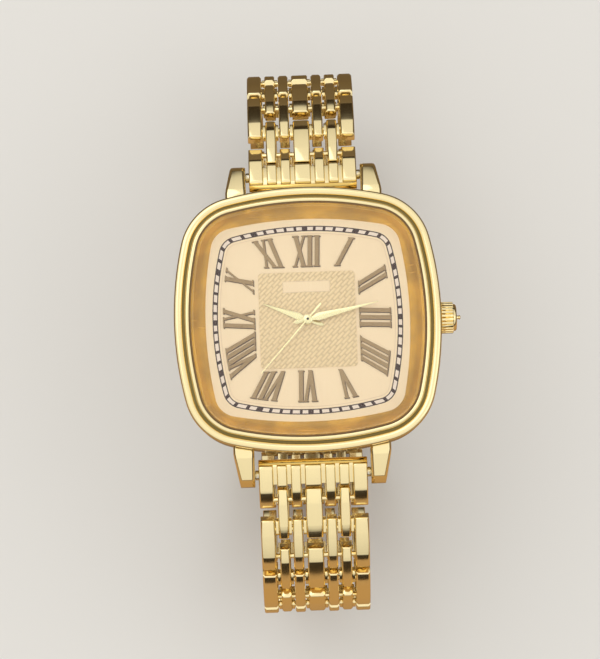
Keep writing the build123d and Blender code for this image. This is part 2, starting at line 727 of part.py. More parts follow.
def columns():
    """Where each of the seven columns of links starts and ends across the band."""
    widths = (OUTER_LINK_WIDTH, INNER_LINK_WIDTH, INNER_LINK_WIDTH, CENTRE_LINK_WIDTH,
              INNER_LINK_WIDTH, INNER_LINK_WIDTH, OUTER_LINK_WIDTH)
    spans = []
    left = -BAND_WIDTH / 2
    for width in widths:
        spans.append((left, left + width))
        left += width + COLUMN_GAP
    return spans


def link_face(start, end):
    """Side view of a link: flat underneath, with a crown of three facets on top."""
    half = LINK_THICKNESS / 2
    middle = (start + end) / 2
    flat = CROWN_FLAT / 2 * (end - start) / (LINK_PITCH + 2 * LINK_OVERHANG)
    return make_face(Polyline(
        (start, half - CROWN_DROP), (start, -half + LINK_FOOT_CHAMFER),
        (start + LINK_FOOT_CHAMFER, -half), (end - LINK_FOOT_CHAMFER, -half),
        (end, -half + LINK_FOOT_CHAMFER), (end, half - CROWN_DROP),
        (middle + flat, half), (middle - flat, half), close=True))


def link(left, right, start, end):
    """One link, with its long upper edges chamfered."""
    solid = prism(link_face(start, end), left, right)
    level = LINK_THICKNESS / 2 - CROWN_DROP
    edges = [e for e in solid.edges()
             if e.bounding_box().min.Z >= level - LINK_EDGE_CHAMFER / 2
             and e.bounding_box().size.Y > LINK_EDGE_CHAMFER]
    return chamfer(edges, LINK_EDGE_CHAMFER)


def make_inner_row():
    """Three loose links, in the second, fourth and sixth columns, bored for two pins."""
    links = []
    for left, right in columns()[1::2]:
        solid = link(left, right, -LINK_OVERHANG, LINK_PITCH + LINK_OVERHANG)
        links.append(solid - bore(PIN_RADIUS) - bore(PIN_RADIUS, LINK_PITCH))
    return links


def make_outer_row(last):
    """Four links joined by the pins pressed into them; the last row is bored for the clasp."""
    row = pin()
    if not last:
        row += pin(LINK_PITCH)
    for left, right in columns()[::2]:
        row += link(left, right, -LINK_OVERHANG, LINK_PITCH + LINK_OVERHANG)
    if last:
        row -= bore(PIN_RADIUS, LINK_PITCH)
    return [row]


def make_end_link():
    """The solid piece on a spring bar, with four long lobes and three short ones."""
    half = BAND_WIDTH / 2
    rise = END_WEB_THICKNESS / 2
    nose = END_NOSE_REACH - END_NOSE_CHAMFER
    solid = prism(make_face(Polyline(
        (-nose, -rise), (END_WEB_LENGTH, -rise), (END_WEB_LENGTH, rise), (-nose, rise),
        (-END_NOSE_REACH, rise - END_NOSE_CHAMFER),
        (-END_NOSE_REACH, END_NOSE_CHAMFER - rise), close=True)), -half, half)
    for place, (left, right) in enumerate(columns()):
        end = END_WEB_LENGTH if place % 2 else END_LINK_LENGTH + LINK_OVERHANG
        solid += link(left, right, -END_LOBE_REACH, end)
    solid += pin(END_LINK_LENGTH)
    return [solid - bore(BAR_RADIUS)]


# Course of the bracelet

def clasp_half_angle():
    """Half the angle that the curved clasp spans, in degrees."""
    return degrees(CLASP_LENGTH / (2 * CLASP_RADIUS))


def headings(lead):
    """Heading of the end link, of each row and of the clasp, in degrees below level."""
    last = 180 - clasp_half_angle()
    count = ROWS + 1
    values = []
    for step in range(count + 1):
        share = step / count
        values.append(FIRST_HEADING + (last - FIRST_HEADING) * share
                      - FLATTENING * sin(2 * pi * share) + lead * sin(pi * share))
    return values


def course(lead):
    """The pivots of one side of the bracelet, from the spring bar to the clasp."""
    turns = headings(lead)
    y = BAR_REACH
    z = BAR_HEIGHT
    pivots = [(y, z)]
    for step in range(ROWS + 1):
        length = LINK_PITCH if step else END_LINK_LENGTH
        y += length * cos(radians(turns[step]))
        z -= length * sin(radians(turns[step]))
        pivots.append((y, z))
    return pivots


def closing_lead():
    """The lead, in degrees, at which the side ends where the clasp starts."""
    goal = CLASP_RADIUS * sin(radians(clasp_half_angle()))
    low = -60.0
    high = 60.0
    for _ in range(50):
        middle = (low + high) / 2
        if course(middle)[-1][0] > goal:
            low = middle
        else:
            high = middle
    return (low + high) / 2


LEAD = closing_lead()
TURNS = headings(LEAD)
PIVOTS = course(LEAD)


def laid(solids, step, side):
    """The solids of one row, moved to their place on the 12 or the 6 o'clock side."""
    y, z = PIVOTS[step]
    place = Pos(0, y, z) * Rot(-TURNS[step], 0, 0)
    if side < 0:
        place = Rot(0, 0, 180) * place
    return Compound(children=[place * solid for solid in solids])


# Clasp

def clasp_point(place, height):
    """Y and Z of a point of the clasp, from its distance along it and its height outwards."""
    angle = radians(clasp_half_angle()) - place / CLASP_RADIUS
    radius = CLASP_RADIUS + height
    centre = PIVOTS[-1][1] + CLASP_RADIUS * cos(radians(clasp_half_angle()))
    return radius * sin(angle), centre - radius * cos(angle)


def curved_strip(start, end, foot, top):
    """Side view of a strip that follows the curve of the clasp."""
    middle = (start + end) / 2
    return make_face([
        ThreePointArc(clasp_point(start, foot), clasp_point(middle, foot),
                      clasp_point(end, foot)),
        Line(clasp_point(end, foot), clasp_point(end, top)),
        ThreePointArc(clasp_point(end, top), clasp_point(middle, top),
                      clasp_point(start, top)),
        Line(clasp_point(start, top), clasp_point(start, foot))])


def cross_bar(radius, half, place, height):
    """A pin or a tube's outside across the clasp."""
    y, z = clasp_point(place, height)
    return bar(radius, -half, half, y, z)


def cross_bore(radius, place, height):
    """The cut across the clasp for a pin that turns, clear of it across its flats."""
    return cross_bar((radius + RUNNING_CLEARANCE) / cos(pi / PIN_SIDES), BAND_WIDTH,
                     place, height)


def make_clasp_cover():
    """The outer shell of the clasp: a curved plate, two walls, three knuckles and a pin."""
    half = BAND_WIDTH / 2
    start = COVER_START
    end = CLASP_LENGTH - COVER_START
    foot = COVER_TOP - COVER_THICKNESS
    shell = prism(curved_strip(start, end, foot, COVER_TOP), -half, half)
    wall = curved_strip(start, end, foot - COVER_WALL_DEPTH, foot)
    for left, right in both_sides(half - COVER_WALL, half):
        shell += prism(wall, left, right)
    arm = curved_strip(0, start, -CLASP_KNUCKLE_RADIUS / 2, COVER_TOP - COVER_THICKNESS / 2)
    y, z = clasp_point(0, 0)
    for left, right in columns()[1::2]:
        shell += prism(arm, left, right) + bar(CLASP_KNUCKLE_RADIUS, left, right, y, z)
        shell += prism(curved_strip(start, start + COVER_THICKNESS, 0, foot), left, right)
    shell -= cross_bar(PIN_RADIUS, half + OVERRUN, 0, 0)
    shell -= cross_bar(HINGE_PIN_RADIUS, half + OVERRUN, HINGE_A_PLACE, HINGE_A_HEIGHT)
    hinge_pin = cross_bar(HINGE_PIN_RADIUS, half, HINGE_A_PLACE, HINGE_A_HEIGHT)
    return Compound(children=[shell, hinge_pin])


def make_middle_blade():
    """The blade between the cover and the lower blade, with a tube at each end."""
    half = BLADE_WIDTH / 2
    strip = curved_strip(HINGE_B_PLACE + HINGE_TUBE_RADIUS + HINGE_SIDE_PLAY, HINGE_A_PLACE,
                         BLADE_TOP - BLADE_THICKNESS, BLADE_TOP)
    blade = prism(strip, -half, half)
    blade += cross_bar(HINGE_TUBE_RADIUS, half, HINGE_A_PLACE, HINGE_A_HEIGHT)
    tongue = curved_strip(HINGE_B_PLACE, HINGE_B_PLACE + 2 * HINGE_TUBE_RADIUS,
                          BLADE_TOP - BLADE_THICKNESS, HINGE_B_HEIGHT + HINGE_TUBE_RADIUS)
    knuckle_half = MIDDLE_KNUCKLE_WIDTH / 2
    blade += prism(tongue, -knuckle_half, knuckle_half)
    blade += cross_bar(HINGE_TUBE_RADIUS, knuckle_half, HINGE_B_PLACE, HINGE_B_HEIGHT)
    blade -= cross_bore(HINGE_PIN_RADIUS, HINGE_A_PLACE, HINGE_A_HEIGHT)
    return blade - cross_bore(HINGE_PIN_RADIUS, HINGE_B_PLACE, HINGE_B_HEIGHT)


def make_lower_blade():
    """The blade next to the wrist: two knuckles, a catch, and three knuckles for the band."""
    half = LOWER_BLADE_WIDTH / 2
    foot = LOWER_BLADE_TOP - BLADE_THICKNESS
    end = CLASP_LENGTH - COVER_START
    blade = prism(curved_strip(HINGE_B_PLACE, end, foot, LOWER_BLADE_TOP), -half, half)
    y, z = clasp_point(HINGE_B_PLACE, HINGE_B_HEIGHT)
    inner = MIDDLE_KNUCKLE_WIDTH / 2 + HINGE_SIDE_PLAY
    blade -= rod(HINGE_TUBE_RADIUS + HINGE_SIDE_PLAY, -inner, inner, y, z)
    for left, right in both_sides(inner, half):
        blade += bar(HINGE_TUBE_RADIUS, left, right, y, z)
    catch_start = CLASP_LENGTH - CATCH_SETBACK
    catch = curved_strip(catch_start, catch_start + CATCH_LENGTH, LOWER_BLADE_TOP,
                         LOWER_BLADE_TOP + CATCH_RISE)
    blade += prism(catch, -CATCH_WIDTH / 2, CATCH_WIDTH / 2)
    step = curved_strip(end - BLADE_THICKNESS, CLASP_LENGTH, foot, LOWER_BLADE_TOP)
    y, z = clasp_point(CLASP_LENGTH, 0)
    for left, right in columns()[1::2]:
        blade += prism(step, left, right)
        blade += bar(CLASP_KNUCKLE_RADIUS, left, right, y, z)
    blade -= cross_bar(PIN_RADIUS, BAND_WIDTH, CLASP_LENGTH, 0)
    blade -= cross_bar(HINGE_PIN_RADIUS, BAND_WIDTH, HINGE_B_PLACE, HINGE_B_HEIGHT)
    hinge_pin = cross_bar(HINGE_PIN_RADIUS, half, HINGE_B_PLACE, HINGE_B_HEIGHT)
    return Compound(children=[blade, hinge_pin])


def make_clasp_bar(place):
    """The bar that joins the clasp to the last row of one side."""
    return cross_bar(PIN_RADIUS, BAND_WIDTH / 2, place, 0)


def sub_parts():
    """Every sub-part by name."""
    parts = {
        "case_middle": make_case_middle(),
        "bezel": make_bezel(),
        "crystal": make_crystal(),
        "crystal_gasket": make_crystal_gasket(),
        "flange_ring": make_flange(),
        "dial": make_dial(),
        "case_back": make_case_back(),
        "back_gasket": make_back_gasket(),
        "spring_bars": make_spring_bars(),
        "crown": make_crown(),
        "winding_stem": make_stem(),
        "setting_lever": make_setting_lever(),
        "main_plate": make_main_plate(),
        "movement_holder": make_movement_holder(),
        "train_bridge": make_train_bridge(),
        "battery": make_battery(),
        "battery_clamp": make_battery_clamp(),
        "circuit_board": make_circuit_board(),
        "motor_coil": make_coil(),
        "motor_stator": make_stator(),
        "motor_rotor": make_rotor(),
        "third_wheel": make_third_wheel(),
        "fourth_wheel": make_fourth_wheel(),
        "centre_wheel": make_centre_wheel(),
        "hour_wheel": make_hour_wheel(),
        "hour_hand": make_hand(HOUR_HAND_REACH, HOUR_HAND_TAIL, HOUR_HAND_WIDTH, HUB_RADIUS,
                               HOUR_PIPE_RADIUS, HOUR_HAND_FOOT, HOUR_HAND_TURN),
        "minute_hand": make_hand(MINUTE_HAND_REACH, MINUTE_HAND_TAIL, MINUTE_HAND_WIDTH,
                                 HUB_RADIUS, MINUTE_PIPE_RADIUS, MINUTE_HAND_FOOT,
                                 MINUTE_HAND_TURN),
        "second_hand": make_hand(SECOND_HAND_REACH, SECOND_HAND_TAIL, SECOND_HAND_WIDTH,
                                 SECOND_HUB_RADIUS, 0, SECOND_HAND_FOOT,
                                 SECOND_HAND_TURN),
        "clasp_cover": make_clasp_cover(),
        "clasp_middle_blade": make_middle_blade(),
        "clasp_lower_blade": make_lower_blade(),
        "clasp_bar_12": make_clasp_bar(0),
        "clasp_bar_6": make_clasp_bar(CLASP_LENGTH),
    }
    end_link = make_end_link()
    inner_row = make_inner_row()
    outer_row = make_outer_row(last=False)
    last_row = make_outer_row(last=True)
    for hour, side in ((12, 1), (6, -1)):
        parts[f"end_link_{hour}"] = laid(end_link, 0, side)
        for row in range(1, ROWS + 1):
            solids = inner_row if row % 2 else (last_row if row == ROWS else outer_row)
            parts[f"link_row_{hour}_{row:02d}"] = laid(solids, row, side)
    return parts


def main():
    """Write one file for each sub-part."""
    os.makedirs("parts", exist_ok=True)
    for name, shape in sub_parts().items():
        export_step(shape, os.path.join("parts", name + ".step"))
    print("pivots", [(round(y, 4), round(z, 4)) for y, z in PIVOTS])
    print("headings", [round(turn, 4) for turn in TURNS])


main()
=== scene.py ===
"""Looks of a small square quartz watch, closed on its bracelet of brick-laid links.

Everything is in metres in the part's own frame: the dial faces +Z, twelve o'clock is
towards +Y, the crown towards +X, and the origin is the middle of the case back.
"""

import json
import logging
import math
from dataclasses import dataclass
from enum import Enum
from typing import Sequence

import bmesh
import bpy
from mathutils import Matrix, Vector

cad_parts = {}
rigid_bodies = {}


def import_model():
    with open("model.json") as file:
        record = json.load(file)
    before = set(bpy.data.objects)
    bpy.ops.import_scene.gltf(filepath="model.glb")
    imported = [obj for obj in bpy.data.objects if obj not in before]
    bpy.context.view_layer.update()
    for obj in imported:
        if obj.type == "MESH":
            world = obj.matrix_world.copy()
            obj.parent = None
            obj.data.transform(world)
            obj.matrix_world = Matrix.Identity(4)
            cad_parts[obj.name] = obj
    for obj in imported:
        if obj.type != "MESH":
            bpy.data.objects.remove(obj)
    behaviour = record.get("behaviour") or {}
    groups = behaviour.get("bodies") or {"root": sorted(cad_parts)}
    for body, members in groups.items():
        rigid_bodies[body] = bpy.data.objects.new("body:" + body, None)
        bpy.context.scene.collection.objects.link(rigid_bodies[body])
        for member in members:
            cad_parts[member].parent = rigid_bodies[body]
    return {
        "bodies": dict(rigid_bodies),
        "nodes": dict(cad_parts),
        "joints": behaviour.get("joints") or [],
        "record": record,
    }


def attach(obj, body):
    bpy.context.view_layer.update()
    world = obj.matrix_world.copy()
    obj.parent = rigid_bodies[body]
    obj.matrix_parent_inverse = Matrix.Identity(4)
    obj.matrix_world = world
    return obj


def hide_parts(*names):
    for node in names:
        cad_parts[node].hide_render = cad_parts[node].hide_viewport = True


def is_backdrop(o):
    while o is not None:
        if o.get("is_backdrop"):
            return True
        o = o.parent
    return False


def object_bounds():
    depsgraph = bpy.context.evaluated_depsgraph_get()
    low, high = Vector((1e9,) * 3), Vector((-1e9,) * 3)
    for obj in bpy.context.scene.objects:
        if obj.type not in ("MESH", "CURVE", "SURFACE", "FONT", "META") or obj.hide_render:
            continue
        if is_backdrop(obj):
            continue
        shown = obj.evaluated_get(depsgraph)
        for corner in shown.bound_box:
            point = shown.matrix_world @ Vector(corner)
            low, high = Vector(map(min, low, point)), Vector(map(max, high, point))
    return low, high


LOG = logging.getLogger("square_watch")
MM = 0.001
SMOOTH_ANGLE = 35.0
SEAM = MM / 2000
SIDE_STEPS = 24
CORNER_STEPS = 16

Point = tuple[float, float]
Ring = list[Vector]
Colour = tuple[float, float, float]


class BandSide(Enum):
    """The two halves of the bracelet."""

    TWELVE = 12
    SIX = 6

    def matrix(self) -> Matrix:
        """The turn that brings a row from the twelve o'clock half to this one."""
        return Matrix.Rotation(0.0 if self is BandSide.TWELVE else math.pi, 4, "Z")


class Grain(Enum):
    """How the surface of a metal is worked."""

    POLISHED = "polished"
    STRAIGHT = "straight"
    CIRCULAR = "circular"


# Modelling


def deselect() -> None:
    """Leave nothing selected, so that an operator acts on the next piece alone."""
    if bpy.context.mode != "OBJECT":
        bpy.ops.object.mode_set(mode="OBJECT")
    bpy.ops.object.select_all(action="DESELECT")


def pick(piece: bpy.types.Object) -> None:
    """Select one piece and make it the active one.

    Args:
        piece: the piece to work on.
    """
    deselect()
    piece.select_set(True)
    bpy.context.view_layer.objects.active = piece


def loft(name: str, rings: Sequence[Ring], closed: bool = False) -> bpy.types.Object:
    """Shape a circle into the first ring and extrude it through the others.

    Args:
        name: name of the new piece.
        rings: rings of places, all with the same number of places.
        closed: joins the last ring to the first instead of closing both ends.

    Returns:
        The piece, with its faces outwards.
    """
    deselect()
    count = len(rings[0])
    bpy.ops.mesh.primitive_circle_add(vertices=count, radius=MM)
    piece = bpy.context.active_object
    piece.name = piece.data.name = name
    for vertex, place in zip(piece.data.vertices, rings[0]):
        vertex.co = place
    bpy.ops.object.mode_set(mode="EDIT")
    bpy.ops.mesh.select_mode(type="EDGE")
    bpy.ops.mesh.select_all(action="SELECT")
    # Each new vertex takes the place in its ring of the vertex that it was pulled from
    order = {index: index for index in range(count)}
    for ring in [*rings[1:], *([rings[0]] if closed else [])]:
        bpy.ops.mesh.extrude_edges_move()
        shape = bmesh.from_edit_mesh(piece.data)
        shape.verts.index_update()
        for vertex in [v for v in shape.verts if v.select]:
            others = [edge.other_vert(vertex) for edge in vertex.link_edges]
            source = next(other for other in others if not other.select)
            order[vertex.index] = order[source.index]
            vertex.co = ring[order[vertex.index]]
        bmesh.update_edit_mesh(piece.data)
    if not closed:
        bpy.ops.mesh.edge_face_add()
        bpy.ops.mesh.select_all(action="DESELECT")
        bpy.ops.mesh.select_mode(type="VERT")
        shape = bmesh.from_edit_mesh(piece.data)
        shape.verts.ensure_lookup_table()
        for index in range(count):
            shape.verts[index].select = True
        shape.select_flush(True)
        bmesh.update_edit_mesh(piece.data)
        bpy.ops.mesh.edge_face_add()
    bpy.ops.mesh.select_all(action="SELECT")
    bpy.ops.mesh.remove_doubles(threshold=SEAM)
    bpy.ops.mesh.normals_make_consistent(inside=False)
    bpy.ops.object.mode_set(mode="OBJECT")
    return piece


def soften(piece: bpy.types.Object, width: float, steps: int = 2, angle: float = 25.0) -> None:
    """Round the edges of a piece and shade it smooth between them.

    Args:
        piece: the piece.
        width: width of the rounding in millimetres.
        steps: number of faces across each rounded edge.
        angle: edges flatter than this many degrees stay as they are.
    """
    pick(piece)
    if width:
        bevel = piece.modifiers.new("rounded_edges", "BEVEL")
        bevel.width = width * MM
        bevel.segments = steps
        bevel.limit_method = "ANGLE"
        bevel.angle_limit = math.radians(angle)
        bevel.harden_normals = False
        bpy.ops.object.modifier_apply(modifier=bevel.name)
    bpy.ops.object.shade_smooth_by_angle(angle=math.radians(SMOOTH_ANGLE))


def joined(name: str, pieces: Sequence[bpy.types.Object]) -> bpy.types.Object:
    """Join several pieces into one with a name.

    Args:
        name: name of the result.
        pieces: the pieces, of which the first one takes up the others.

    Returns:
        The joined piece.
    """
    pick(pieces[0])
    for piece in pieces:
        piece.select_set(True)
    if len(pieces) > 1:
        bpy.ops.object.join()
    result = bpy.context.active_object
    result.name = result.data.name = name
    return result


def copied(source: bpy.types.Object, name: str, place: Matrix) -> bpy.types.Object:
    """Copy a piece with its own mesh and move the mesh to its place.

    Args:
        source: the piece or solid that is copied.
        name: name of the copy.
        place: the move, which may mirror.

    Returns:
        The copy, with its faces outwards.
    """
    mesh = source.data.copy()
    mesh.transform(place)
    if place.determinant() < 0:
        mesh.flip_normals()
    piece = bpy.data.objects.new(name, mesh)
    mesh.name = name
    bpy.context.collection.objects.link(piece)
    return piece


def discard(pieces: Sequence[bpy.types.Object]) -> None:
    """Remove models that were only copied from."""
    for piece in pieces:
        bpy.data.objects.remove(piece, do_unlink=True)


def prism(name: str, corners: Sequence[Point], foot: float, top: float,
          inset: float = 0.0) -> bpy.types.Object:
    """Make an upright plate with the given corners, in millimetres.

    Args:
        name: name of the new piece.
        corners: X and Y of the corners.
        foot: height of its underside.
        top: height of its upper side.
        inset: how far the upper side stands in from the lower one.

    Returns:
        The plate.
    """
    centre = Vector((sum(c[0] for c in corners), sum(c[1] for c in corners))) / len(corners)
    upper = []
    for corner in corners:
        away = Vector(corner) - centre
        upper.append(Vector(corner) - away.normalized() * inset)
    return loft(name, [[Vector((x, y, foot)) * MM for x, y in corners],
                       [Vector((p.x, p.y, top)) * MM for p in upper]])


def turned(name: str, profile: Sequence[Point], steps: int) -> bpy.types.Object:
    """Turn a profile about the upright axis through the middle of the dial.

    Args:
        name: name of the new piece.
        profile: radii and heights in millimetres.
        steps: number of sides.

    Returns:
        The turned piece.
    """
    rings = []
    for radius, height in profile:
        rings.append([Vector((radius * math.cos(2 * math.pi * step / steps),
                              radius * math.sin(2 * math.pi * step / steps),
                              height)) * MM for step in range(steps)])
    return loft(name, rings)


def rod(name: str, profile: Sequence[Point], steps: int, y: float = 0.0,
        z: float = 0.0) -> bpy.types.Object:
    """Turn a profile about an axis along X.

    Args:
        name: name of the new piece.
        profile: places along the axis and radii, in millimetres.
        steps: number of sides.
        y: place of the axis towards twelve o'clock, in millimetres.
        z: height of the axis, in millimetres.

    Returns:
        The turned piece.
    """
    rings = []
    for place, radius in profile:
        rings.append([Vector((place, y + radius * math.cos(2 * math.pi * step / steps),
                              z + radius * math.sin(2 * math.pi * step / steps))) * MM
                      for step in range(steps)])
    return loft(name, rings)


def refined(node: bpy.types.Object, name: str, width: float) -> bpy.types.Object:
    """Copy a solid's mesh, close its seams and round its edges.

    Args:
        node: the solid, which stays as it is.
        name: name of the copy.
        width: width of the rounding in millimetres.

    Returns:
        The copy.
    """
    piece = copied(node, name, Matrix.Identity(4))
    pick(piece)
    bpy.ops.object.mode_set(mode="EDIT")
    bpy.ops.mesh.select_all(action="SELECT")
    bpy.ops.mesh.remove_doubles(threshold=MM / 1000)
    bpy.ops.mesh.customdata_custom_splitnormals_clear()
    bpy.ops.mesh.dissolve_limited(angle_limit=math.radians(1.0))
    bpy.ops.object.mode_set(mode="OBJECT")
    soften(piece, width)
    return piece


@dataclass(frozen=True)
class Outline:
    """A square with bowed sides and round corners, in millimetres."""

    half: float
    side_radius: float
    corner_radius: float

    def inset(self, distance: float) -> "Outline":
        """The outline that runs parallel to this one, further in."""
        return Outline(self.half - distance, self.side_radius - distance,
                       self.corner_radius - distance)

    def points(self) -> list[Point]:
        """Lay places along the outline, the same number on each side and corner.

        Returns:
            X and Y of each place, counterclockwise from the crown's side.
        """
        centre = self.side_radius - self.half
        reach = self.side_radius - self.corner_radius
        corner = (math.sqrt(2 * reach**2 - centre**2) - centre) / 2
        lean = math.asin(corner / reach)
        places = []
        for quarter in range(4):
            turn = quarter * math.pi / 2
            quarter_places = []
            for step in range(SIDE_STEPS):
                angle = lean * (2 * step / SIDE_STEPS - 1)
                quarter_places.append((self.side_radius * math.cos(angle) - centre,
                                       self.side_radius * math.sin(angle)))
            for step in range(CORNER_STEPS):
                angle = lean + (math.pi / 2 - 2 * lean) * step / CORNER_STEPS
                quarter_places.append((corner + self.corner_radius * math.cos(angle),
                                       corner + self.corner_radius * math.sin(angle)))
            for x, y in quarter_places:
                places.append((x * math.cos(turn) - y * math.sin(turn),
                               x * math.sin(turn) + y * math.cos(turn)))
        return places

    def ring(self, height: float) -> Ring:
        """The outline at a height, as a ring for a loft."""
        return [Vector((x, y, height)) * MM for x, y in self.points()]

    def crossing(self, degrees: float) -> Point:
        """Find where a ray from the centre meets the outline.

        Args:
            degrees: direction of the ray, clockwise from twelve o'clock.

        Returns:
            X and Y of the crossing.
        """
        ray = Vector((math.sin(math.radians(degrees)), math.cos(math.radians(degrees))))
        places = self.points()
        for start, end in zip(places, places[1:] + places[:1]):
            side_a = ray.x * start[1] - ray.y * start[0]
            side_b = ray.x * end[1] - ray.y * end[0]
            if side_a * side_b > 0 or ray.dot(Vector(start)) < 0:
                continue
            share = side_a / (side_a - side_b) if side_a != side_b else 0.0
            return (start[0] + (end[0] - start[0]) * share,
                    start[1] + (end[1] - start[1]) * share)
        raise ValueError(f"no crossing at {degrees} degrees")


CASE = Outline(17.65, 45.0, 8.0)
OPENING = Outline(13.5, 52.0, 3.0)


def case_ring(half: float, height: float) -> Ring:
    """A ring that runs parallel to the case, at a height."""
    return CASE.inset(CASE.half - half).ring(height)


def case_sweep(name: str, profile: Sequence[Point]) -> bpy.types.Object:
    """A ring round the case from a closed profile of half widths and heights."""
    return loft(name, [case_ring(half, height) for half, height in profile], closed=True)


def case_plate(name: str, profile: Sequence[Point]) -> bpy.types.Object:
    """A plate in the shape of the case from an open profile of half widths and heights."""
    return loft(name, [case_ring(half, height) for half, height in profile])


def arc(centre: Point, width: float, height: float, start: float, end: float,
        steps: int) -> list[Point]:
    """Lay places along part of an ellipse.

    Args:
        centre: the middle of the ellipse.
        width: its reach outwards from the middle.
        height: its reach upwards from the middle.
        start: first angle in degrees.
        end: last angle in degrees.
        steps: number of stretches between the places.

    Returns:
        The places, with both ends.
    """
    places = []
    for step in range(steps + 1):
        angle = math.radians(start + (end - start) * step / steps)
        places.append((centre[0] + width * math.cos(angle), centre[1] + height * math.sin(angle)))
    return places


# Finishes


class Graph:
    """A short way to write a node tree."""

    def __init__(self, tree: bpy.types.NodeTree) -> None:
        """Hold the tree that is written."""
        self.tree = tree

    def add(self, kind: str, **inputs: object) -> bpy.types.Node:
        """Add a node and set or link its inputs, which are named with _ for a space.

        Args:
            kind: type of the node, without the words ShaderNode.
            inputs: values, or sockets to link; names that are not inputs are settings.

        Returns:
            The new node.
        """
        node = self.tree.nodes.new("ShaderNode" + kind)
        settings = {key: value for key, value in inputs.items() if hasattr(node, key)}
        for key, value in settings.items():
            setattr(node, key, value)
        for key, value in inputs.items():
            if key in settings:
                continue
            socket = node.inputs[key.replace("_", " ")]
            if isinstance(value, bpy.types.NodeSocket):
                self.tree.links.new(value, socket)
            else:
                socket.default_value = value
        return node

    def math(self, operation: str, *values: object) -> bpy.types.NodeSocket:
        """Calculate with values or sockets.

        Args:
            operation: Blender's name of the calculation.
            values: its inputs in their order.

        Returns:
            The socket that holds the result.
        """
        node = self.tree.nodes.new("ShaderNodeMath")
        node.operation = operation
        for socket, value in zip(node.inputs, values):
            if isinstance(value, bpy.types.NodeSocket):
                self.tree.links.new(value, socket)
            else:
                socket.default_value = value
        return node.outputs[0]

    def mix(self, share: object, first: object, second: object) -> bpy.types.NodeSocket:
        """Mix two colours.

        Args:
            share: how much of the second colour there is.
            first: the first colour.
            second: the second colour.

        Returns:
            The socket that holds the mixture.
        """
        node = self.tree.nodes.new("ShaderNodeMix")
        node.data_type = "RGBA"
        for socket, value in ((node.inputs[0], share), (node.inputs[6], first),
                              (node.inputs[7], second)):
            if isinstance(value, bpy.types.NodeSocket):
                self.tree.links.new(value, socket)
            else:
                socket.default_value = value
        return node.outputs[2]

    def place(self) -> bpy.types.NodeSocket:
        """The place on the object, in metres."""
        return self.add("TexCoord").outputs["Object"]

    def spread(self, value: bpy.types.NodeSocket, low: float, high: float,
               to_low: float, to_high: float) -> bpy.types.NodeSocket:
        """Carry a value from one span to another and keep it inside.

        Args:
            value: the value.
            low: start of the span that it comes from.
            high: end of that span.
            to_low: what the start becomes.
            to_high: what the end becomes.

        Returns:
            The socket that holds the result.
        """
        node = self.add("MapRange", Value=value, From_Min=low, From_Max=high,
                        To_Min=to_low, To_Max=to_high)
        return node.outputs["Result"]


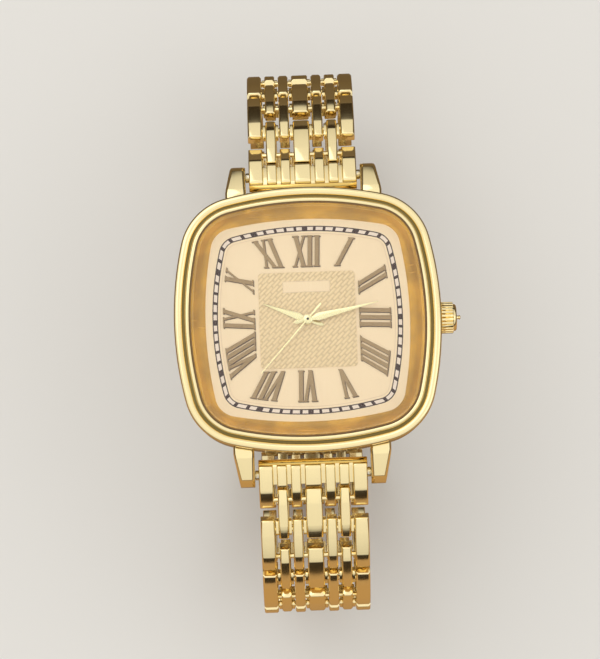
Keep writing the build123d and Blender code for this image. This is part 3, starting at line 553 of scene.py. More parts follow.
class Effects:
    """Surface effects that several finishes share, each built once."""

    def __init__(self) -> None:
        """Build every effect."""
        self.haze = self._haze()
        self.brushing = self._brushing()
        self.weave = self._weave()

    @staticmethod
    def _start(name: str, inputs: Sequence[tuple[str, float]], outputs: Sequence[str]
               ) -> tuple[bpy.types.NodeTree, Graph, bpy.types.Node, bpy.types.Node]:
        """Start a group of nodes.

        Args:
            name: name of the group.
            inputs: names of its inputs with their usual values.
            outputs: names of its outputs.

        Returns:
            Its tree, its graph, and its nodes of inputs and of outputs.
        """
        tree = bpy.data.node_groups.new(name, "ShaderNodeTree")
        for label, value in inputs:
            socket = tree.interface.new_socket(name=label, in_out="INPUT",
                                               socket_type="NodeSocketFloat")
            socket.default_value = value
        for label in outputs:
            tree.interface.new_socket(name=label, in_out="OUTPUT",
                                      socket_type="NodeSocketFloat")
        entry = tree.nodes.new("NodeGroupInput")
        leave = tree.nodes.new("NodeGroupOutput")
        return tree, Graph(tree), entry, leave

    def _haze(self) -> bpy.types.NodeTree:
        """Faint clouds and hair-fine marks of handling on polished metal.

        Returns:
            The group, which puts out a roughness and a height.
        """
        tree, graph, entry, leave = self._start(
            "handling_haze", (("Roughness", 0.1), ("Amount", 0.05), ("Scale", 400.0)),
            ("Roughness", "Height"))
        place = graph.place()
        cloud = graph.add("TexNoise", Vector=place, Scale=entry.outputs["Scale"], Detail=3.0)
        stretched = graph.add("Mapping", Vector=place, Scale=(60.0, 3000.0, 900.0),
                              Rotation=(0.3, 0.2, 0.7))
        hair = graph.add("TexNoise", Vector=stretched.outputs[0], Scale=1.0, Detail=2.0)
        marks = graph.spread(hair.outputs["Fac"], 0.62, 0.72, 0.0, 1.0)
        extra = graph.math("MULTIPLY", graph.math("ADD", cloud.outputs["Fac"], marks),
                           entry.outputs["Amount"])
        total = graph.math("ADD", entry.outputs["Roughness"], extra)
        tree.links.new(total, leave.inputs["Roughness"])
        tree.links.new(marks, leave.inputs["Height"])
        return tree

    def _brushing(self) -> bpy.types.NodeTree:
        """Fine lines left by a brush, straight along Y or round the middle of the dial.

        Returns:
            The group, which puts out the lines as a mask.
        """
        tree, graph, entry, leave = self._start(
            "brushing", (("Round", 0.0), ("Scale", 8000.0)), ("Lines",))
        parts = graph.add("SeparateXYZ", Vector=graph.place())
        radius = graph.math("SQRT", graph.math(
            "ADD", graph.math("MULTIPLY", parts.outputs[0], parts.outputs[0]),
            graph.math("MULTIPLY", parts.outputs[1], parts.outputs[1])))
        turn = entry.outputs["Round"]
        still = graph.math("SUBTRACT", 1.0, turn)
        across = graph.math("ADD", graph.math("MULTIPLY", radius, turn),
                            graph.math("MULTIPLY", parts.outputs[0], still))
        angle = graph.math("ARCTAN2", parts.outputs[1], parts.outputs[0])
        along = graph.math("ADD",
                           graph.math("MULTIPLY", graph.math("MULTIPLY", angle, 0.003), turn),
                           graph.math("MULTIPLY", parts.outputs[1], still))
        fine = graph.add("CombineXYZ", X=graph.math("MULTIPLY", across, entry.outputs["Scale"]),
                         Y=graph.math("MULTIPLY", along, 150.0),
                         Z=graph.math("MULTIPLY", parts.outputs[2], 150.0))
        noise = graph.add("TexNoise", Vector=fine.outputs[0], Scale=1.0, Detail=4.0,
                          Roughness=0.7)
        tree.links.new(noise.outputs["Fac"], leave.inputs["Lines"])
        return tree

    def _weave(self) -> bpy.types.NodeTree:
        """A stamped basket weave of slanting dashes in staggered rows.

        Returns:
            The group, which puts out a height.
        """
        tree, graph, entry, leave = self._start(
            "slanting_weave", (("Row", 0.00044), ("Dash", 0.0014)), ("Height",))
        parts = graph.add("SeparateXYZ", Vector=graph.place())
        half = math.sqrt(0.5)
        along = graph.math("MULTIPLY", graph.math("ADD", parts.outputs[0], parts.outputs[1]), half)
        across = graph.math("MULTIPLY",
                            graph.math("SUBTRACT", parts.outputs[1], parts.outputs[0]), half)
        rows = graph.math("DIVIDE", across, entry.outputs["Row"])
        row = graph.math("FLOOR", rows)
        shift = graph.math("MULTIPLY", graph.math("PINGPONG", row, 1.0), 0.5)
        dash = graph.math("FRACT", graph.math("ADD", shift, graph.math(
            "DIVIDE", along, entry.outputs["Dash"])))
        over = graph.math("SINE", graph.math("MULTIPLY", graph.math("FRACT", rows), math.pi))
        end = graph.spread(graph.math("SINE", graph.math("MULTIPLY", dash, math.pi)),
                           0.0, 0.45, 0.0, 1.0)
        tree.links.new(graph.math("MULTIPLY", over, end), leave.inputs["Height"])
        return tree

    @staticmethod
    def use(graph: Graph, tree: bpy.types.NodeTree, **inputs: float) -> bpy.types.Node:
        """Place an effect in a material with its own values.

        Args:
            graph: the graph of the material.
            tree: the effect.
            inputs: values for the inputs that differ from the usual ones.

        Returns:
            The node that holds the effect.
        """
        node = graph.tree.nodes.new("ShaderNodeGroup")
        node.node_tree = tree
        for key, value in inputs.items():
            node.inputs[key].default_value = value
        return node


def new_material(name: str) -> tuple[bpy.types.Material, Graph, bpy.types.Node]:
    """A material with its graph and its surface shader."""
    material = bpy.data.materials.new(name)
    material.use_nodes = True
    return material, Graph(material.node_tree), material.node_tree.nodes["Principled BSDF"]


@dataclass(frozen=True)
class Metal:
    """A metal finish, polished or brushed, and even or mottled."""

    name: str
    colour: Colour
    roughness: float
    grain: Grain = Grain.POLISHED
    wear: float = 0.04
    relief: float = 0.000004
    metallic: float = 1.0
    mottle: float = 0.0
    cloud_scale: float = 300.0

    def material(self, effects: Effects) -> bpy.types.Material:
        """Build the finish as a material.

        Args:
            effects: the effects that finishes share.

        Returns:
            The material.
        """
        material, graph, surface = new_material(self.name)
        surface.inputs["Metallic"].default_value = self.metallic
        surface.inputs["Base Color"].default_value = (*self.colour, 1.0)
        if self.mottle:
            cloud = graph.add("TexNoise", Vector=graph.place(), Scale=self.cloud_scale,
                              Detail=2.0)
            share = graph.spread(cloud.outputs["Fac"], 0.42, 0.6, 0.0, 1.0)
            deep = tuple(part * (1.0 - self.mottle) for part in self.colour) + (1.0,)
            tone = graph.mix(share, deep, (*self.colour, 1.0))
            graph.tree.links.new(tone, surface.inputs["Base Color"])
        haze = effects.use(graph, effects.haze, Roughness=self.roughness, Amount=self.wear)
        bump = graph.add("Bump", Distance=self.relief, Strength=0.3)
        if self.grain is Grain.POLISHED:
            graph.tree.links.new(haze.outputs["Roughness"], surface.inputs["Roughness"])
            graph.tree.links.new(haze.outputs["Height"], bump.inputs["Height"])
        else:
            lines = effects.use(graph, effects.brushing,
                                Round=1.0 if self.grain is Grain.CIRCULAR else 0.0)
            rough = graph.math("ADD", haze.outputs["Roughness"],
                               graph.math("MULTIPLY", lines.outputs["Lines"], 0.12))
            graph.tree.links.new(rough, surface.inputs["Roughness"])
            graph.tree.links.new(lines.outputs["Lines"], bump.inputs["Height"])
            tone = graph.mix(lines.outputs["Lines"],
                             tuple(0.8 * part for part in self.colour) + (1.0,),
                             (*self.colour, 1.0))
            graph.tree.links.new(tone, surface.inputs["Base Color"])
        graph.tree.links.new(bump.outputs[0], surface.inputs["Normal"])
        return material


@dataclass(frozen=True)
class Enamel:
    """A finish that is not metal: paint, plastic, rubber or print."""

    name: str
    colour: Colour
    roughness: float
    mottle: float = 0.06

    def material(self, effects: Effects) -> bpy.types.Material:
        """Build the finish as a material.

        Args:
            effects: not used.

        Returns:
            The material.
        """
        material, graph, surface = new_material(self.name)
        noise = graph.add("TexNoise", Vector=graph.place(), Scale=900.0, Detail=4.0)
        tone = graph.mix(noise.outputs["Fac"],
                         tuple(part * (1.0 - self.mottle) for part in self.colour) + (1.0,),
                         tuple(min(1.0, part * (1.0 + self.mottle)) for part in self.colour)
                         + (1.0,))
        graph.tree.links.new(tone, surface.inputs["Base Color"])
        surface.inputs["Roughness"].default_value = self.roughness
        surface.inputs["Specular IOR Level"].default_value = 0.3
        return material


@dataclass(frozen=True)
class DialFinish:
    """The champagne dial, plain and satin, or stamped with the weave and coloured darker in its
    hollows as painted shade.
    """

    name: str
    light: Colour
    dark: Colour
    stamped: bool

    def material(self, effects: Effects) -> bpy.types.Material:
        """Build the finish as a material.

        Args:
            effects: the effects that finishes share.

        Returns:
            The material.
        """
        material, graph, surface = new_material(self.name)
        surface.inputs["Roughness"].default_value = 0.5
        surface.inputs["Metallic"].default_value = 0.1
        surface.inputs["Specular IOR Level"].default_value = 0.3
        if self.stamped:
            weave = effects.use(graph, effects.weave)
            height = weave.outputs["Height"]
            bump = graph.add("Bump", Distance=0.00006, Strength=0.8, Height=height)
            # Painted shade: the hollows of the weave take the dark colour and its raised dashes
            # the light one.
            share = height
        else:
            lines = effects.use(graph, effects.brushing, Scale=5000.0)
            share = lines.outputs["Lines"]
            bump = graph.add("Bump", Distance=0.000003, Strength=0.3, Height=share)
        tone = graph.mix(share, (*self.dark, 1.0), (*self.light, 1.0))
        graph.tree.links.new(tone, surface.inputs["Base Color"])
        graph.tree.links.new(bump.outputs[0], surface.inputs["Normal"])
        return material


@dataclass(frozen=True)
class Glass:
    """Clear mineral glass that lets the light through to the dial."""

    name: str

    def material(self, effects: Effects) -> bpy.types.Material:
        """Build the finish as a material.

        Args:
            effects: not used.

        Returns:
            The material.
        """
        material, graph, surface = new_material(self.name)
        surface.inputs["Transmission Weight"].default_value = 1.0
        surface.inputs["Roughness"].default_value = 0.0
        surface.inputs["IOR"].default_value = 1.45
        surface.inputs["Specular IOR Level"].default_value = 0.13
        surface.inputs["Base Color"].default_value = (1.0, 1.0, 1.0, 1.0)
        output = material.node_tree.nodes["Material Output"]
        clear = graph.add("BsdfTransparent")
        ray = graph.add("LightPath")
        mix = graph.add("MixShader")
        links = material.node_tree.links
        links.new(ray.outputs["Is Shadow Ray"], mix.inputs[0])
        links.new(surface.outputs[0], mix.inputs[1])
        links.new(clear.outputs[0], mix.inputs[2])
        links.new(mix.outputs[0], output.inputs["Surface"])
        return material


GOLD = (0.95, 0.79, 0.44)
FINISHES = (
    Metal("case_gold", GOLD, 0.09),
    Metal("bracelet_gold", GOLD, 0.10),
    Metal("clasp_gold", GOLD, 0.14, Grain.STRAIGHT),
    Metal("crown_gold", GOLD, 0.12),
    Metal("hand_gold", (0.87, 0.80, 0.46), 0.2),
    # Partly painted reflection: the flange is gold, but coloured orange and half metallic to stand
    # for the orange-brown reflections of the gold around it.
    Metal("flange_gold", (0.67, 0.35, 0.03), 0.22, metallic=0.5, mottle=0.3),
    # Painted shade: a dark brown-gold for the groove of the bezel.
    Metal("groove_painted_shade", (0.19, 0.14, 0.04), 0.4, metallic=0.6),
    Metal("back_steel", (0.72, 0.72, 0.71), 0.2, Grain.CIRCULAR),
    Metal("bar_steel", (0.70, 0.66, 0.56), 0.2),
    Metal("movement_steel", (0.70, 0.70, 0.70), 0.22, Grain.STRAIGHT),
    Metal("movement_brass", (0.80, 0.65, 0.35), 0.24),
    Metal("battery_steel", (0.78, 0.78, 0.78), 0.2, Grain.CIRCULAR),
    Metal("coil_copper", (0.72, 0.42, 0.24), 0.3),
    Metal("numeral_bronze", (0.35, 0.235, 0.11), 0.42, Grain.STRAIGHT, metallic=0.6),
    Enamel("gasket_rubber", (0.05, 0.05, 0.05), 0.6),
    Enamel("seal_amber", (0.20, 0.11, 0.04), 0.5),
    # Painted shadow: the dark copy that shows beside each numeral.
    Enamel("numeral_shadow_paint", (0.075, 0.036, 0.012), 0.7),
    Enamel("holder_plastic", (0.88, 0.88, 0.86), 0.45),
    Enamel("board_green", (0.10, 0.35, 0.18), 0.4),
    Enamel("track_print", (0.035, 0.011, 0.006), 0.9),
    Enamel("track_cells", (0.78, 0.66, 0.54), 0.5),
    Enamel("dial_rim", (0.68, 0.52, 0.34), 0.5),
    DialFinish("dial_champagne", (0.85, 0.68, 0.445), (0.81, 0.635, 0.40), False),
    # Painted shade: the weave's darker colour is for its hollows.
    DialFinish("dial_weave", (0.82, 0.64, 0.37), (0.62, 0.46, 0.25), True),
    Glass("crystal_glass"),
)


class Wardrobe:
    """Every finish by name, and the ways to put one on a piece."""

    def __init__(self) -> None:
        """Build every finish."""
        effects = Effects()
        self.materials = {finish.name: finish.material(effects) for finish in FINISHES}

    def dress(self, piece: bpy.types.Object, finish: str) -> None:
        """Give a piece its only finish."""
        piece.data.materials.clear()
        piece.data.materials.append(self.materials[finish])

    def dress_node(self, node: bpy.types.Object, finish: str) -> None:
        """Give a solid of the frame its finish and leave its mesh alone."""
        for slot in node.material_slots:
            slot.material = self.materials[finish]

    def mount(self, piece: bpy.types.Object, body: str, nodes: Sequence[str], finish: str,
              slot: str = "") -> bpy.types.Object:
        """Dress a piece, let it ride on its body and hide the solids it stands for.

        Args:
            piece: the new piece.
            body: the body it moves with.
            nodes: the solids it replaces.
            finish: name of its finish.
            slot: not used.

        Returns:
            The piece.
        """
        self.dress(piece, finish)
        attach(piece, body)
        if nodes:
            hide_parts(*nodes)
        LOG.info("made %s with %d faces", piece.name, len(piece.data.polygons))
        return piece


# Case


@dataclass
class Case:
    """The body of the case, its lugs, bezel, glass, seals and back.

    All in millimetres. A half is the distance from the middle of the case to the middle of a
    side, and heights count from the back. Each bead is its middle, its reach and its rise.
    """

    wardrobe: Wardrobe
    frame: dict
    foot: float = 0.5
    body_top: float = 5.3
    body_half: float = 17.4
    body_edge: float = 4.9
    inner_half: float = 14.0
    dial_half: float = 14.3
    dial_seat: float = 4.95
    back_half: float = 15.65
    lug_gap: float = 7.7
    tube_radius: float = 0.9
    tube_height: float = 3.0
    outer_bead: tuple[Point, float, float] = ((17.1, 6.7), 0.55, 0.4)
    inner_bead: tuple[Point, float, float] = ((15.89, 6.95), 0.34, 0.35)
    groove_inner: float = 16.24
    groove_outer: float = 16.54
    groove_foot: float = 6.51
    groove_top: float = 6.72
    glass_half: float = 15.4
    glass_foot: float = 6.5
    glass_top: float = 7.4
    flange_half: float = 15.3
    flange_top: float = 6.45
    flange_fall: float = 1.1
    flange_sag: float = 0.12
    flange_steps: int = 6

    def build(self) -> None:
        """Build every piece of the case."""
        self._middle()
        self._bezel()
        self._flange()
        self._crystal()
        self._back()
        self.wardrobe.dress_node(self.frame["nodes"]["crystal_gasket"], "seal_amber")
        self.wardrobe.dress_node(self.frame["nodes"]["back_gasket"], "gasket_rubber")
        bars = refined(self.frame["nodes"]["spring_bars"], "spring_bar_pair", 0.06)
        self.wardrobe.mount(bars, "case", ["spring_bars"], "bar_steel")

    def _lug(self) -> bpy.types.Object:
        """Make the lug towards +X and +Y.

        Returns:
            The lug.
        """
        # Place along Y, top, foot, width and bevel of each section
        sections = (
            (15.8, 4.9, 0.9, 2.7, 0.26), (17.4, 4.9, 0.7, 2.7, 0.28), (18.0, 4.8, 0.55, 2.62, 0.3),
            (20.75, 3.3, 0.25, 2.08, 0.36), (21.1, 2.75, 0.3, 2.0, 0.36),
            (21.5, 1.6, 0.5, 1.9, 0.3))
        rings = []
        for y, top, foot, width, edge in sections:
            left = self.lug_gap
            right = left + width
            rings.append([Vector((x, y, z)) * MM for x, z in (
                (left, foot), (left, top - edge), (left + edge, top), (right - edge, top),
                (right, top - edge), (right, foot + 0.15), (right - 0.15, foot))])
        lug = loft("lug", rings)
        soften(lug, 0.06, 2, 12.0)
        return lug

    def _middle(self) -> None:
        """The body of the case with four lugs and the crown's tube."""
        half = self.body_half
        body = case_sweep("case_body", [
            (self.back_half, self.foot), (half - 1.0, self.foot),
            (half - 0.85, self.foot + 0.05), (half - 0.05, self.foot + 0.85),
            (half, self.foot + 1.0), (half, self.body_edge), (half - 0.1, self.body_top),
            (self.dial_half, self.body_top), (self.dial_half, self.dial_seat),
            (self.inner_half, self.dial_seat), (self.inner_half, 1.25),
            (self.inner_half + 0.5, 1.25), (self.inner_half + 0.5, 0.8),
            (self.back_half, 0.8)])
        soften(body, 0.0)
        lug = self._lug()
        quarter = [Matrix.Diagonal((x, y, 1.0, 1.0)) for x in (1, -1) for y in (1, -1)]
        lugs = [copied(lug, f"lug_{step}", place) for step, place in enumerate(quarter)]
        discard([lug])
        radius = self.tube_radius
        tube = rod("crown_tube", [(14.2, radius), (18.25, radius), (18.3, radius - 0.05)], 40,
                   0.0, self.tube_height)
        soften(tube, 0.0)
        whole = joined("case_with_lugs", [body, *lugs, tube])
        self.wardrobe.mount(whole, "case", ["case_middle"], "case_gold")

    def _bezel(self) -> None:
        """Two polished rings with a groove between them, the seat of the glass, and a dark band in
        the groove as painted shade.
        """
        half = self.flange_half
        inner, outer = self.groove_inner, self.groove_outer
        foot, top = self.groove_foot, self.groove_top
        profile = [(half, self.body_top), (17.3, self.body_top), (17.6, 5.55), (17.65, 5.7)]
        profile += arc(*self.outer_bead, 0.0, 180.0, 18)
        profile += [(outer + 0.01, foot - 0.01), (inner - 0.01, foot - 0.01)]
        profile += arc(*self.inner_bead, 0.0, 180.0, 14)
        profile += [(15.55, self.flange_top), (half, self.flange_top)]
        bezel = case_sweep("polished_bezel", profile)
        soften(bezel, 0.0)
        self.wardrobe.mount(bezel, "case", ["bezel"], "case_gold")
        # Painted shade: a thin dark brown-gold ring fills the groove between the two rings.
        groove = case_sweep("bezel_groove", [(inner, foot), (outer, foot), (outer, top),
                                             (inner, top)])
        self.wardrobe.mount(groove, "case", [], "groove_painted_shade", "case_gold")

    def _flange(self) -> None:
        """The sloped reflecting ring between the glass and the dial."""
        half = self.flange_half
        top = self.flange_top
        rings = [case_ring(half, top - self.flange_fall), case_ring(half, top - 0.02),
                 case_ring(half - 0.23, top)]
        low = OPENING.points()
        high = CASE.inset(CASE.half - half + 0.25).points()
        for step in range(self.flange_steps + 1):
            share = step / self.flange_steps
            height = top - self.flange_fall * share - self.flange_sag * math.sin(math.pi * share)
            rings.append([Vector((hx + (lx - hx) * share, hy + (ly - hy) * share, height)) * MM
                          for (lx, ly), (hx, hy) in zip(low, high)])
        flange = loft("flange_slope", rings, closed=True)
        soften(flange, 0.0)
        # The flange's orange colour is partly a painted reflection of the gold around it.
        self.wardrobe.mount(flange, "case", ["flange_ring"], "flange_gold")

    def _crystal(self) -> None:
        """Flat glass with a bevelled upper edge."""
        half, foot, top = self.glass_half, self.glass_foot, self.glass_top
        glass = case_plate("flat_glass", [
            (half - 0.1, foot), (half - 0.02, foot), (half, foot + 0.02), (half, top - 0.22),
            (half - 0.18, top - 0.02), (half - 0.23, top), (half - 0.3, top)])
        soften(glass, 0.0)
        self.wardrobe.mount(glass, "case", ["crystal"], "crystal_glass")

    def _back(self) -> None:
        """The snap-on back with a shallow step round its middle and a lip for a case knife."""
        back = case_sweep("back_wall", [(13.2, 0.7), (13.9, 0.7), (13.9, 1.7), (13.2, 1.7)])
        plate = case_plate("back_plate", [
            (15.6, 0.8), (15.6, 0.3), (15.35, 0.05), (15.2, 0.0), (13.2, 0.0),
            (13.1, 0.06), (12.9, 0.06), (12.8, 0.0)])
        soften(back, 0.0)
        soften(plate, 0.0)
        whole = joined("snap_back", [plate, back])
        self.wardrobe.mount(whole, "case", ["case_back"], "back_steel")


# Dial


class Letter(Enum):
    """The letters of the hour numerals, with the room that each takes."""

    I = 0.95
    V = 1.5
    X = 1.75


@dataclass
class Dial:
    """The dial plate with its print, stamped centre and applied numerals.

    All in millimetres and degrees. Each numeral is its word and the places of its middle at its
    inner and its outer edge, counted clockwise along its side of the dial.
    """

    wardrobe: Wardrobe
    top: float = 5.35
    foot: float = 4.95
    half: float = 14.3
    square_side: float = 12.75
    square_corner: float = 0.5
    centre_top: float = 5.45
    plate_left: float = -3.1
    plate_right: float = 3.0
    plate_low: float = 3.75
    plate_high: float = 5.1
    track: Outline = Outline(12.58, 40.0, 2.6)
    track_depth: float = 0.72
    track_line: float = 0.14
    bar_half_angle: float = 0.85
    wide_bar_half_angle: float = 1.7
    fine_gap: float = 0.28
    fine_width: float = 0.07
    inner: float = 6.9
    outer: float = 11.1
    thick: float = 0.27
    thin: float = 0.14
    serif: float = 0.15
    serif_share: float = 0.04
    reach_x: float = 0.57
    mirrored_hour: int = 9
    curve: float = 80.0
    step_down: float = 0.005
    shift: Point = (-0.1, 0.2)
    numerals: tuple[tuple[str, float, float], ...] = (
        ("I", 4.17, 6.26), ("II", -3.87, -6.0), ("III", 0.06, 0.26), ("IIII", 4.16, 6.38),
        ("V", -4.14, -5.49), ("VI", 0.28, 0.4), ("VII", 4.33, 6.26), ("VIII", -3.4, -5.61),
        ("IX", 0.02, 0.33), ("X", 4.34, 6.29), ("XI", -4.06, -5.55), ("XII", 0.17, 0.33))

    def build(self) -> None:
        """Build every piece of the dial."""
        self._plate()
        self._centre()
        self._track()
        self._numerals()

    def _plate(self) -> None:
        """The plain plate under the print."""
        plate = case_plate("dial_plate", [(self.half, self.foot), (self.half, self.top)])
        self.wardrobe.mount(plate, "case", ["dial"], "dial_champagne")

    def _centre(self) -> None:
        """The raised square with its weave, and the bare plate above the middle."""
        deselect()
        bpy.ops.mesh.primitive_plane_add(size=1.0)
        square = bpy.context.active_object
        square.name = square.data.name = "woven_square"
        bpy.ops.object.mode_set(mode="EDIT")
        bpy.ops.transform.resize(value=(self.square_side * MM, self.square_side * MM, 1.0))
        bpy.ops.transform.translate(value=(0.0, 0.0, self.top * MM))
        bpy.ops.mesh.bevel(offset=self.square_corner * MM, segments=6, affect="VERTICES")
        bpy.ops.mesh.select_all(action="SELECT")
        bpy.ops.mesh.extrude_region_move(
            TRANSFORM_OT_translate={"value": (0.0, 0.0, (self.centre_top - self.top) * MM)})
        bpy.ops.mesh.select_all(action="SELECT")
        bpy.ops.mesh.normals_make_consistent(inside=False)
        bpy.ops.object.mode_set(mode="OBJECT")
        soften(square, 0.04, 2, 40.0)
        self.wardrobe.mount(square, "case", [], "dial_weave", "dial_champagne")
        for name, grow, level, finish in (("bare_plate_edge", 0.07, 0.01, "dial_rim"),
                                          ("bare_plate", 0.0, 0.03, "dial_champagne")):
            left, right = self.plate_left - grow, self.plate_right + grow
            low, high = self.plate_low - grow, self.plate_high + grow
            plate = prism(name, [(left, low), (right, low), (right, high), (left, high)],
                          self.centre_top - 0.02, self.centre_top + level)
            self.wardrobe.mount(plate, "case", [], finish, "dial_champagne")

    def _line(self, name: str, outline: Outline, width: float, level: float,
              finish: str) -> None:
        """Print one line on the plate along an outline.

        Args:
            name: name of the piece.
            outline: outer edge of the line.
            width: its width.
            level: how far it stands up from the plate.
            finish: name of its finish.
        """
        inner = outline.inset(width)
        foot, top = self.top - 0.02, self.top + level
        line = loft(name, [outline.ring(foot), outline.ring(top), inner.ring(top),
                           inner.ring(foot)], closed=True)
        self.wardrobe.mount(line, "case", [], finish, "dial_champagne")

    def _track(self) -> None:
        """The dark minute track with its pale cells, and a fine line inside it."""
        track, depth = self.track, self.track_depth
        self._line("minute_track", track, depth, 0.006, "track_print")
        outer = track.inset(self.track_line)
        inner = track.inset(depth - self.track_line)
        narrow, wide = self.bar_half_angle, self.wide_bar_half_angle
        cells = []
        for minute in range(60):
            start = minute * 6 + (wide if minute % 5 == 0 else narrow)
            end = minute * 6 + 6 - (wide if minute % 5 == 4 else narrow)
            middle = (start + end) / 2
            corners = [outer.crossing(start), outer.crossing(middle), outer.crossing(end),
                       inner.crossing(end), inner.crossing(middle), inner.crossing(start)]
            cells.append(prism(f"cell_{minute}", corners, self.top, self.top + 0.012))
        whole = joined("minute_cells", cells)
        self.wardrobe.mount(whole, "case", [], "track_cells", "dial_champagne")
        self._line("fine_line", track.inset(depth + self.fine_gap), self.fine_width, 0.015,
                   "dial_rim")

    def _place(self, hour: int, across: float, share: float) -> Point:
        """Find where a place of a numeral comes on the dial.

        Args:
            hour: the hour that the numeral stands for.
            across: distance clockwise from the numeral's middle, in millimetres.
            share: 0 at the inner edge of the numeral and 1 at its outer edge.

        Returns:
            X and Y of the place.
        """
        quarter = ((hour + 1) // 3) % 4
        near, far = self.numerals[hour - 1][1:]
        along = near + (far - near) * share + across
        away = self.inner + (self.outer - self.inner) * share - share * along ** 2 / self.curve
        turn = -quarter * math.pi / 2
        return (self.shift[0] + along * math.cos(turn) - away * math.sin(turn),
                self.shift[1] + along * math.sin(turn) + away * math.cos(turn))

    def _stroke(self, hour: int, low: float, high: float, width: float, start: float = 0.0,
                end: float = 1.0) -> list[Point]:
        """Lay the corners of one straight stroke.

        Args:
            hour: the hour that the numeral stands for.
            low: where its inner end comes, as a distance from the numeral's middle.
            high: where its outer end comes.
            width: half the width of the stroke.
            start: share of the numeral's height at its inner end.
            end: share of the numeral's height at its outer end.

        Returns:
            The four corners.
        """
        return [self._place(hour, low - width, start), self._place(hour, low + width, start),
                self._place(hour, high + width, end), self._place(hour, high - width, end)]

    def _letter(self, hour: int, letter: Letter, middle: float, grow: float
                ) -> list[list[Point]]:
        """Lay the strokes and serifs of one letter.

        Args:
            hour: the hour that the numeral stands for.
            letter: which letter it is.
            middle: distance of the letter from the numeral's middle.
            grow: how much wider than its face the letter is on each side.

        Returns:
            The corners of each stroke and serif.
        """
        thick, thin = self.thick + grow, self.thin + grow
        if letter is Letter.I:
            strokes = [self._stroke(hour, middle, middle, thick)]
            feet = [(middle, 0, thick + self.serif), (middle, 1, thick + self.serif)]
        elif letter is Letter.V:
            strokes = [self._stroke(hour, middle + 0.03, middle - 0.55, thick),
                       self._stroke(hour, middle, middle + 0.6, thin + 0.06)]
            feet = [(middle - 0.55, 1, thick + 0.13), (middle + 0.6, 1, thin + 0.2)]
        else:
            lean = -self.reach_x if hour == self.mirrored_hour else self.reach_x
            strokes = [self._stroke(hour, middle + lean, middle - lean, thick),
                       self._stroke(hour, middle - lean, middle + lean, thin)]
            feet = [(middle + lean, 0, thick + self.serif),
                    (middle - lean, 1, thick + self.serif),
                    (middle - lean, 0, thin + 0.2), (middle + lean, 1, thin + 0.2)]
        for place, end, width in feet:
            span = (0.0, self.serif_share) if end == 0 else (1.0 - self.serif_share, 1.0)
            strokes.append(self._stroke(hour, place, place, width, *span))
        return strokes

    def _numerals(self) -> None:
        """All twelve numerals: a bright face on a dark foot, shifted down and to the right, that
        shows as a fine painted shadow along the face's lower right edge.
        """
        # The first pass is a dark, slightly wider copy of each numeral, shifted down and to the
        # right, as a painted shadow.
        for name, grow, level, drop, finish in (
                ("numeral_shadow_feet", 0.01, 0.1, 0.085, "numeral_shadow_paint"),
                ("hour_numerals", 0.0, 0.14, 0.0, "numeral_bronze")):
            strokes = []
            for hour, (word, *_) in enumerate(self.numerals, start=1):
                letters = [Letter[character] for character in word]
                room = 0.9 if len(word) > 3 else 1.0
                reach = -room * sum(letter.value for letter in letters) / 2
                for letter in letters:
                    middle = reach + room * letter.value / 2
                    # Strokes that cross lie at slightly different heights
                    for step, corners in enumerate(self._letter(hour, letter, middle, grow)):
                        corners = [(x + drop, y - drop) for x, y in corners]
                        strokes.append(prism("stroke", corners, self.top - 0.02,
                                             self.top + level - step * self.step_down, 0.02))
                    reach += room * letter.value
            whole = joined(name, strokes)
            self.wardrobe.mount(whole, "case", [], finish, "dial_champagne")


# Hands


@dataclass
class Hand:
    """A faceted hand with a raised middle line.

    The turn is in degrees clockwise from twelve o'clock, and the sections are places along the
    hand with half its width there.
    """

    name: str
    node: str
    body: str
    turn: float
    foot: float
    thickness: float
    hub: float
    sections: tuple[Point, ...]

    def build(self, wardrobe: Wardrobe) -> None:
        """Build the hand and turn it to its hour.

        Args:
            wardrobe: the finishes.
        """
        rings = []
        for place, half in self.sections:
            ridge = self.foot + self.thickness
            low = ridge - min(self.thickness * 0.7, half * 0.4)
            rings.append([Vector((x, place, z)) * MM for x, z in (
                (-half, self.foot), (-half, low), (0.0, ridge), (half, low),
                (half, self.foot))])
        blade = loft("blade", rings)
        soften(blade, 0.0)
        top = self.foot + self.thickness
        boss = turned("boss", [(self.hub, self.foot), (self.hub, top - 0.02),
                               (self.hub - 0.06, top + 0.01)], 48)
        soften(boss, 0.0)
        whole = joined(self.name, [blade, boss])
        whole.data.transform(Matrix.Rotation(-math.radians(self.turn), 4, "Z"))
        wardrobe.mount(whole, self.body, [self.node], "hand_gold")


@dataclass
class Hands:
    """The three hands and the end of the arbor between them."""

    wardrobe: Wardrobe

    def build(self) -> None:
        """Build every hand."""
        Hand("hour_lance", "hour_hand", "hours", 291.0, 5.6, 0.15, 0.6, (
            (-2.3, 0.05), (-1.75, 0.28), (-0.7, 0.24), (0.0, 0.26), (0.75, 0.3),
            (1.3, 0.46), (3.6, 0.26), (6.25, 0.04))).build(self.wardrobe)
        Hand("minute_lance", "minute_hand", "minutes", 77.7, 5.93, 0.15, 0.6, (
            (-1.95, 0.05), (-1.5, 0.28), (-0.7, 0.24), (0.0, 0.26), (0.8, 0.32),
            (1.5, 0.52), (5.2, 0.26), (9.58, 0.04))).build(self.wardrobe)
        Hand("sweep_hand", "second_hand", "seconds", 222.0, 6.26, 0.12, 0.55, (
            (-2.75, 0.06), (-2.6, 0.14), (-0.6, 0.09), (0.0, 0.08), (9.5, 0.05))
             ).build(self.wardrobe)
        dot = turned("arbor_dot", [(0.17, 6.3), (0.17, 6.4)], 24)
        self.wardrobe.mount(dot, "seconds", [], "track_print", "movement_brass")


# Crown


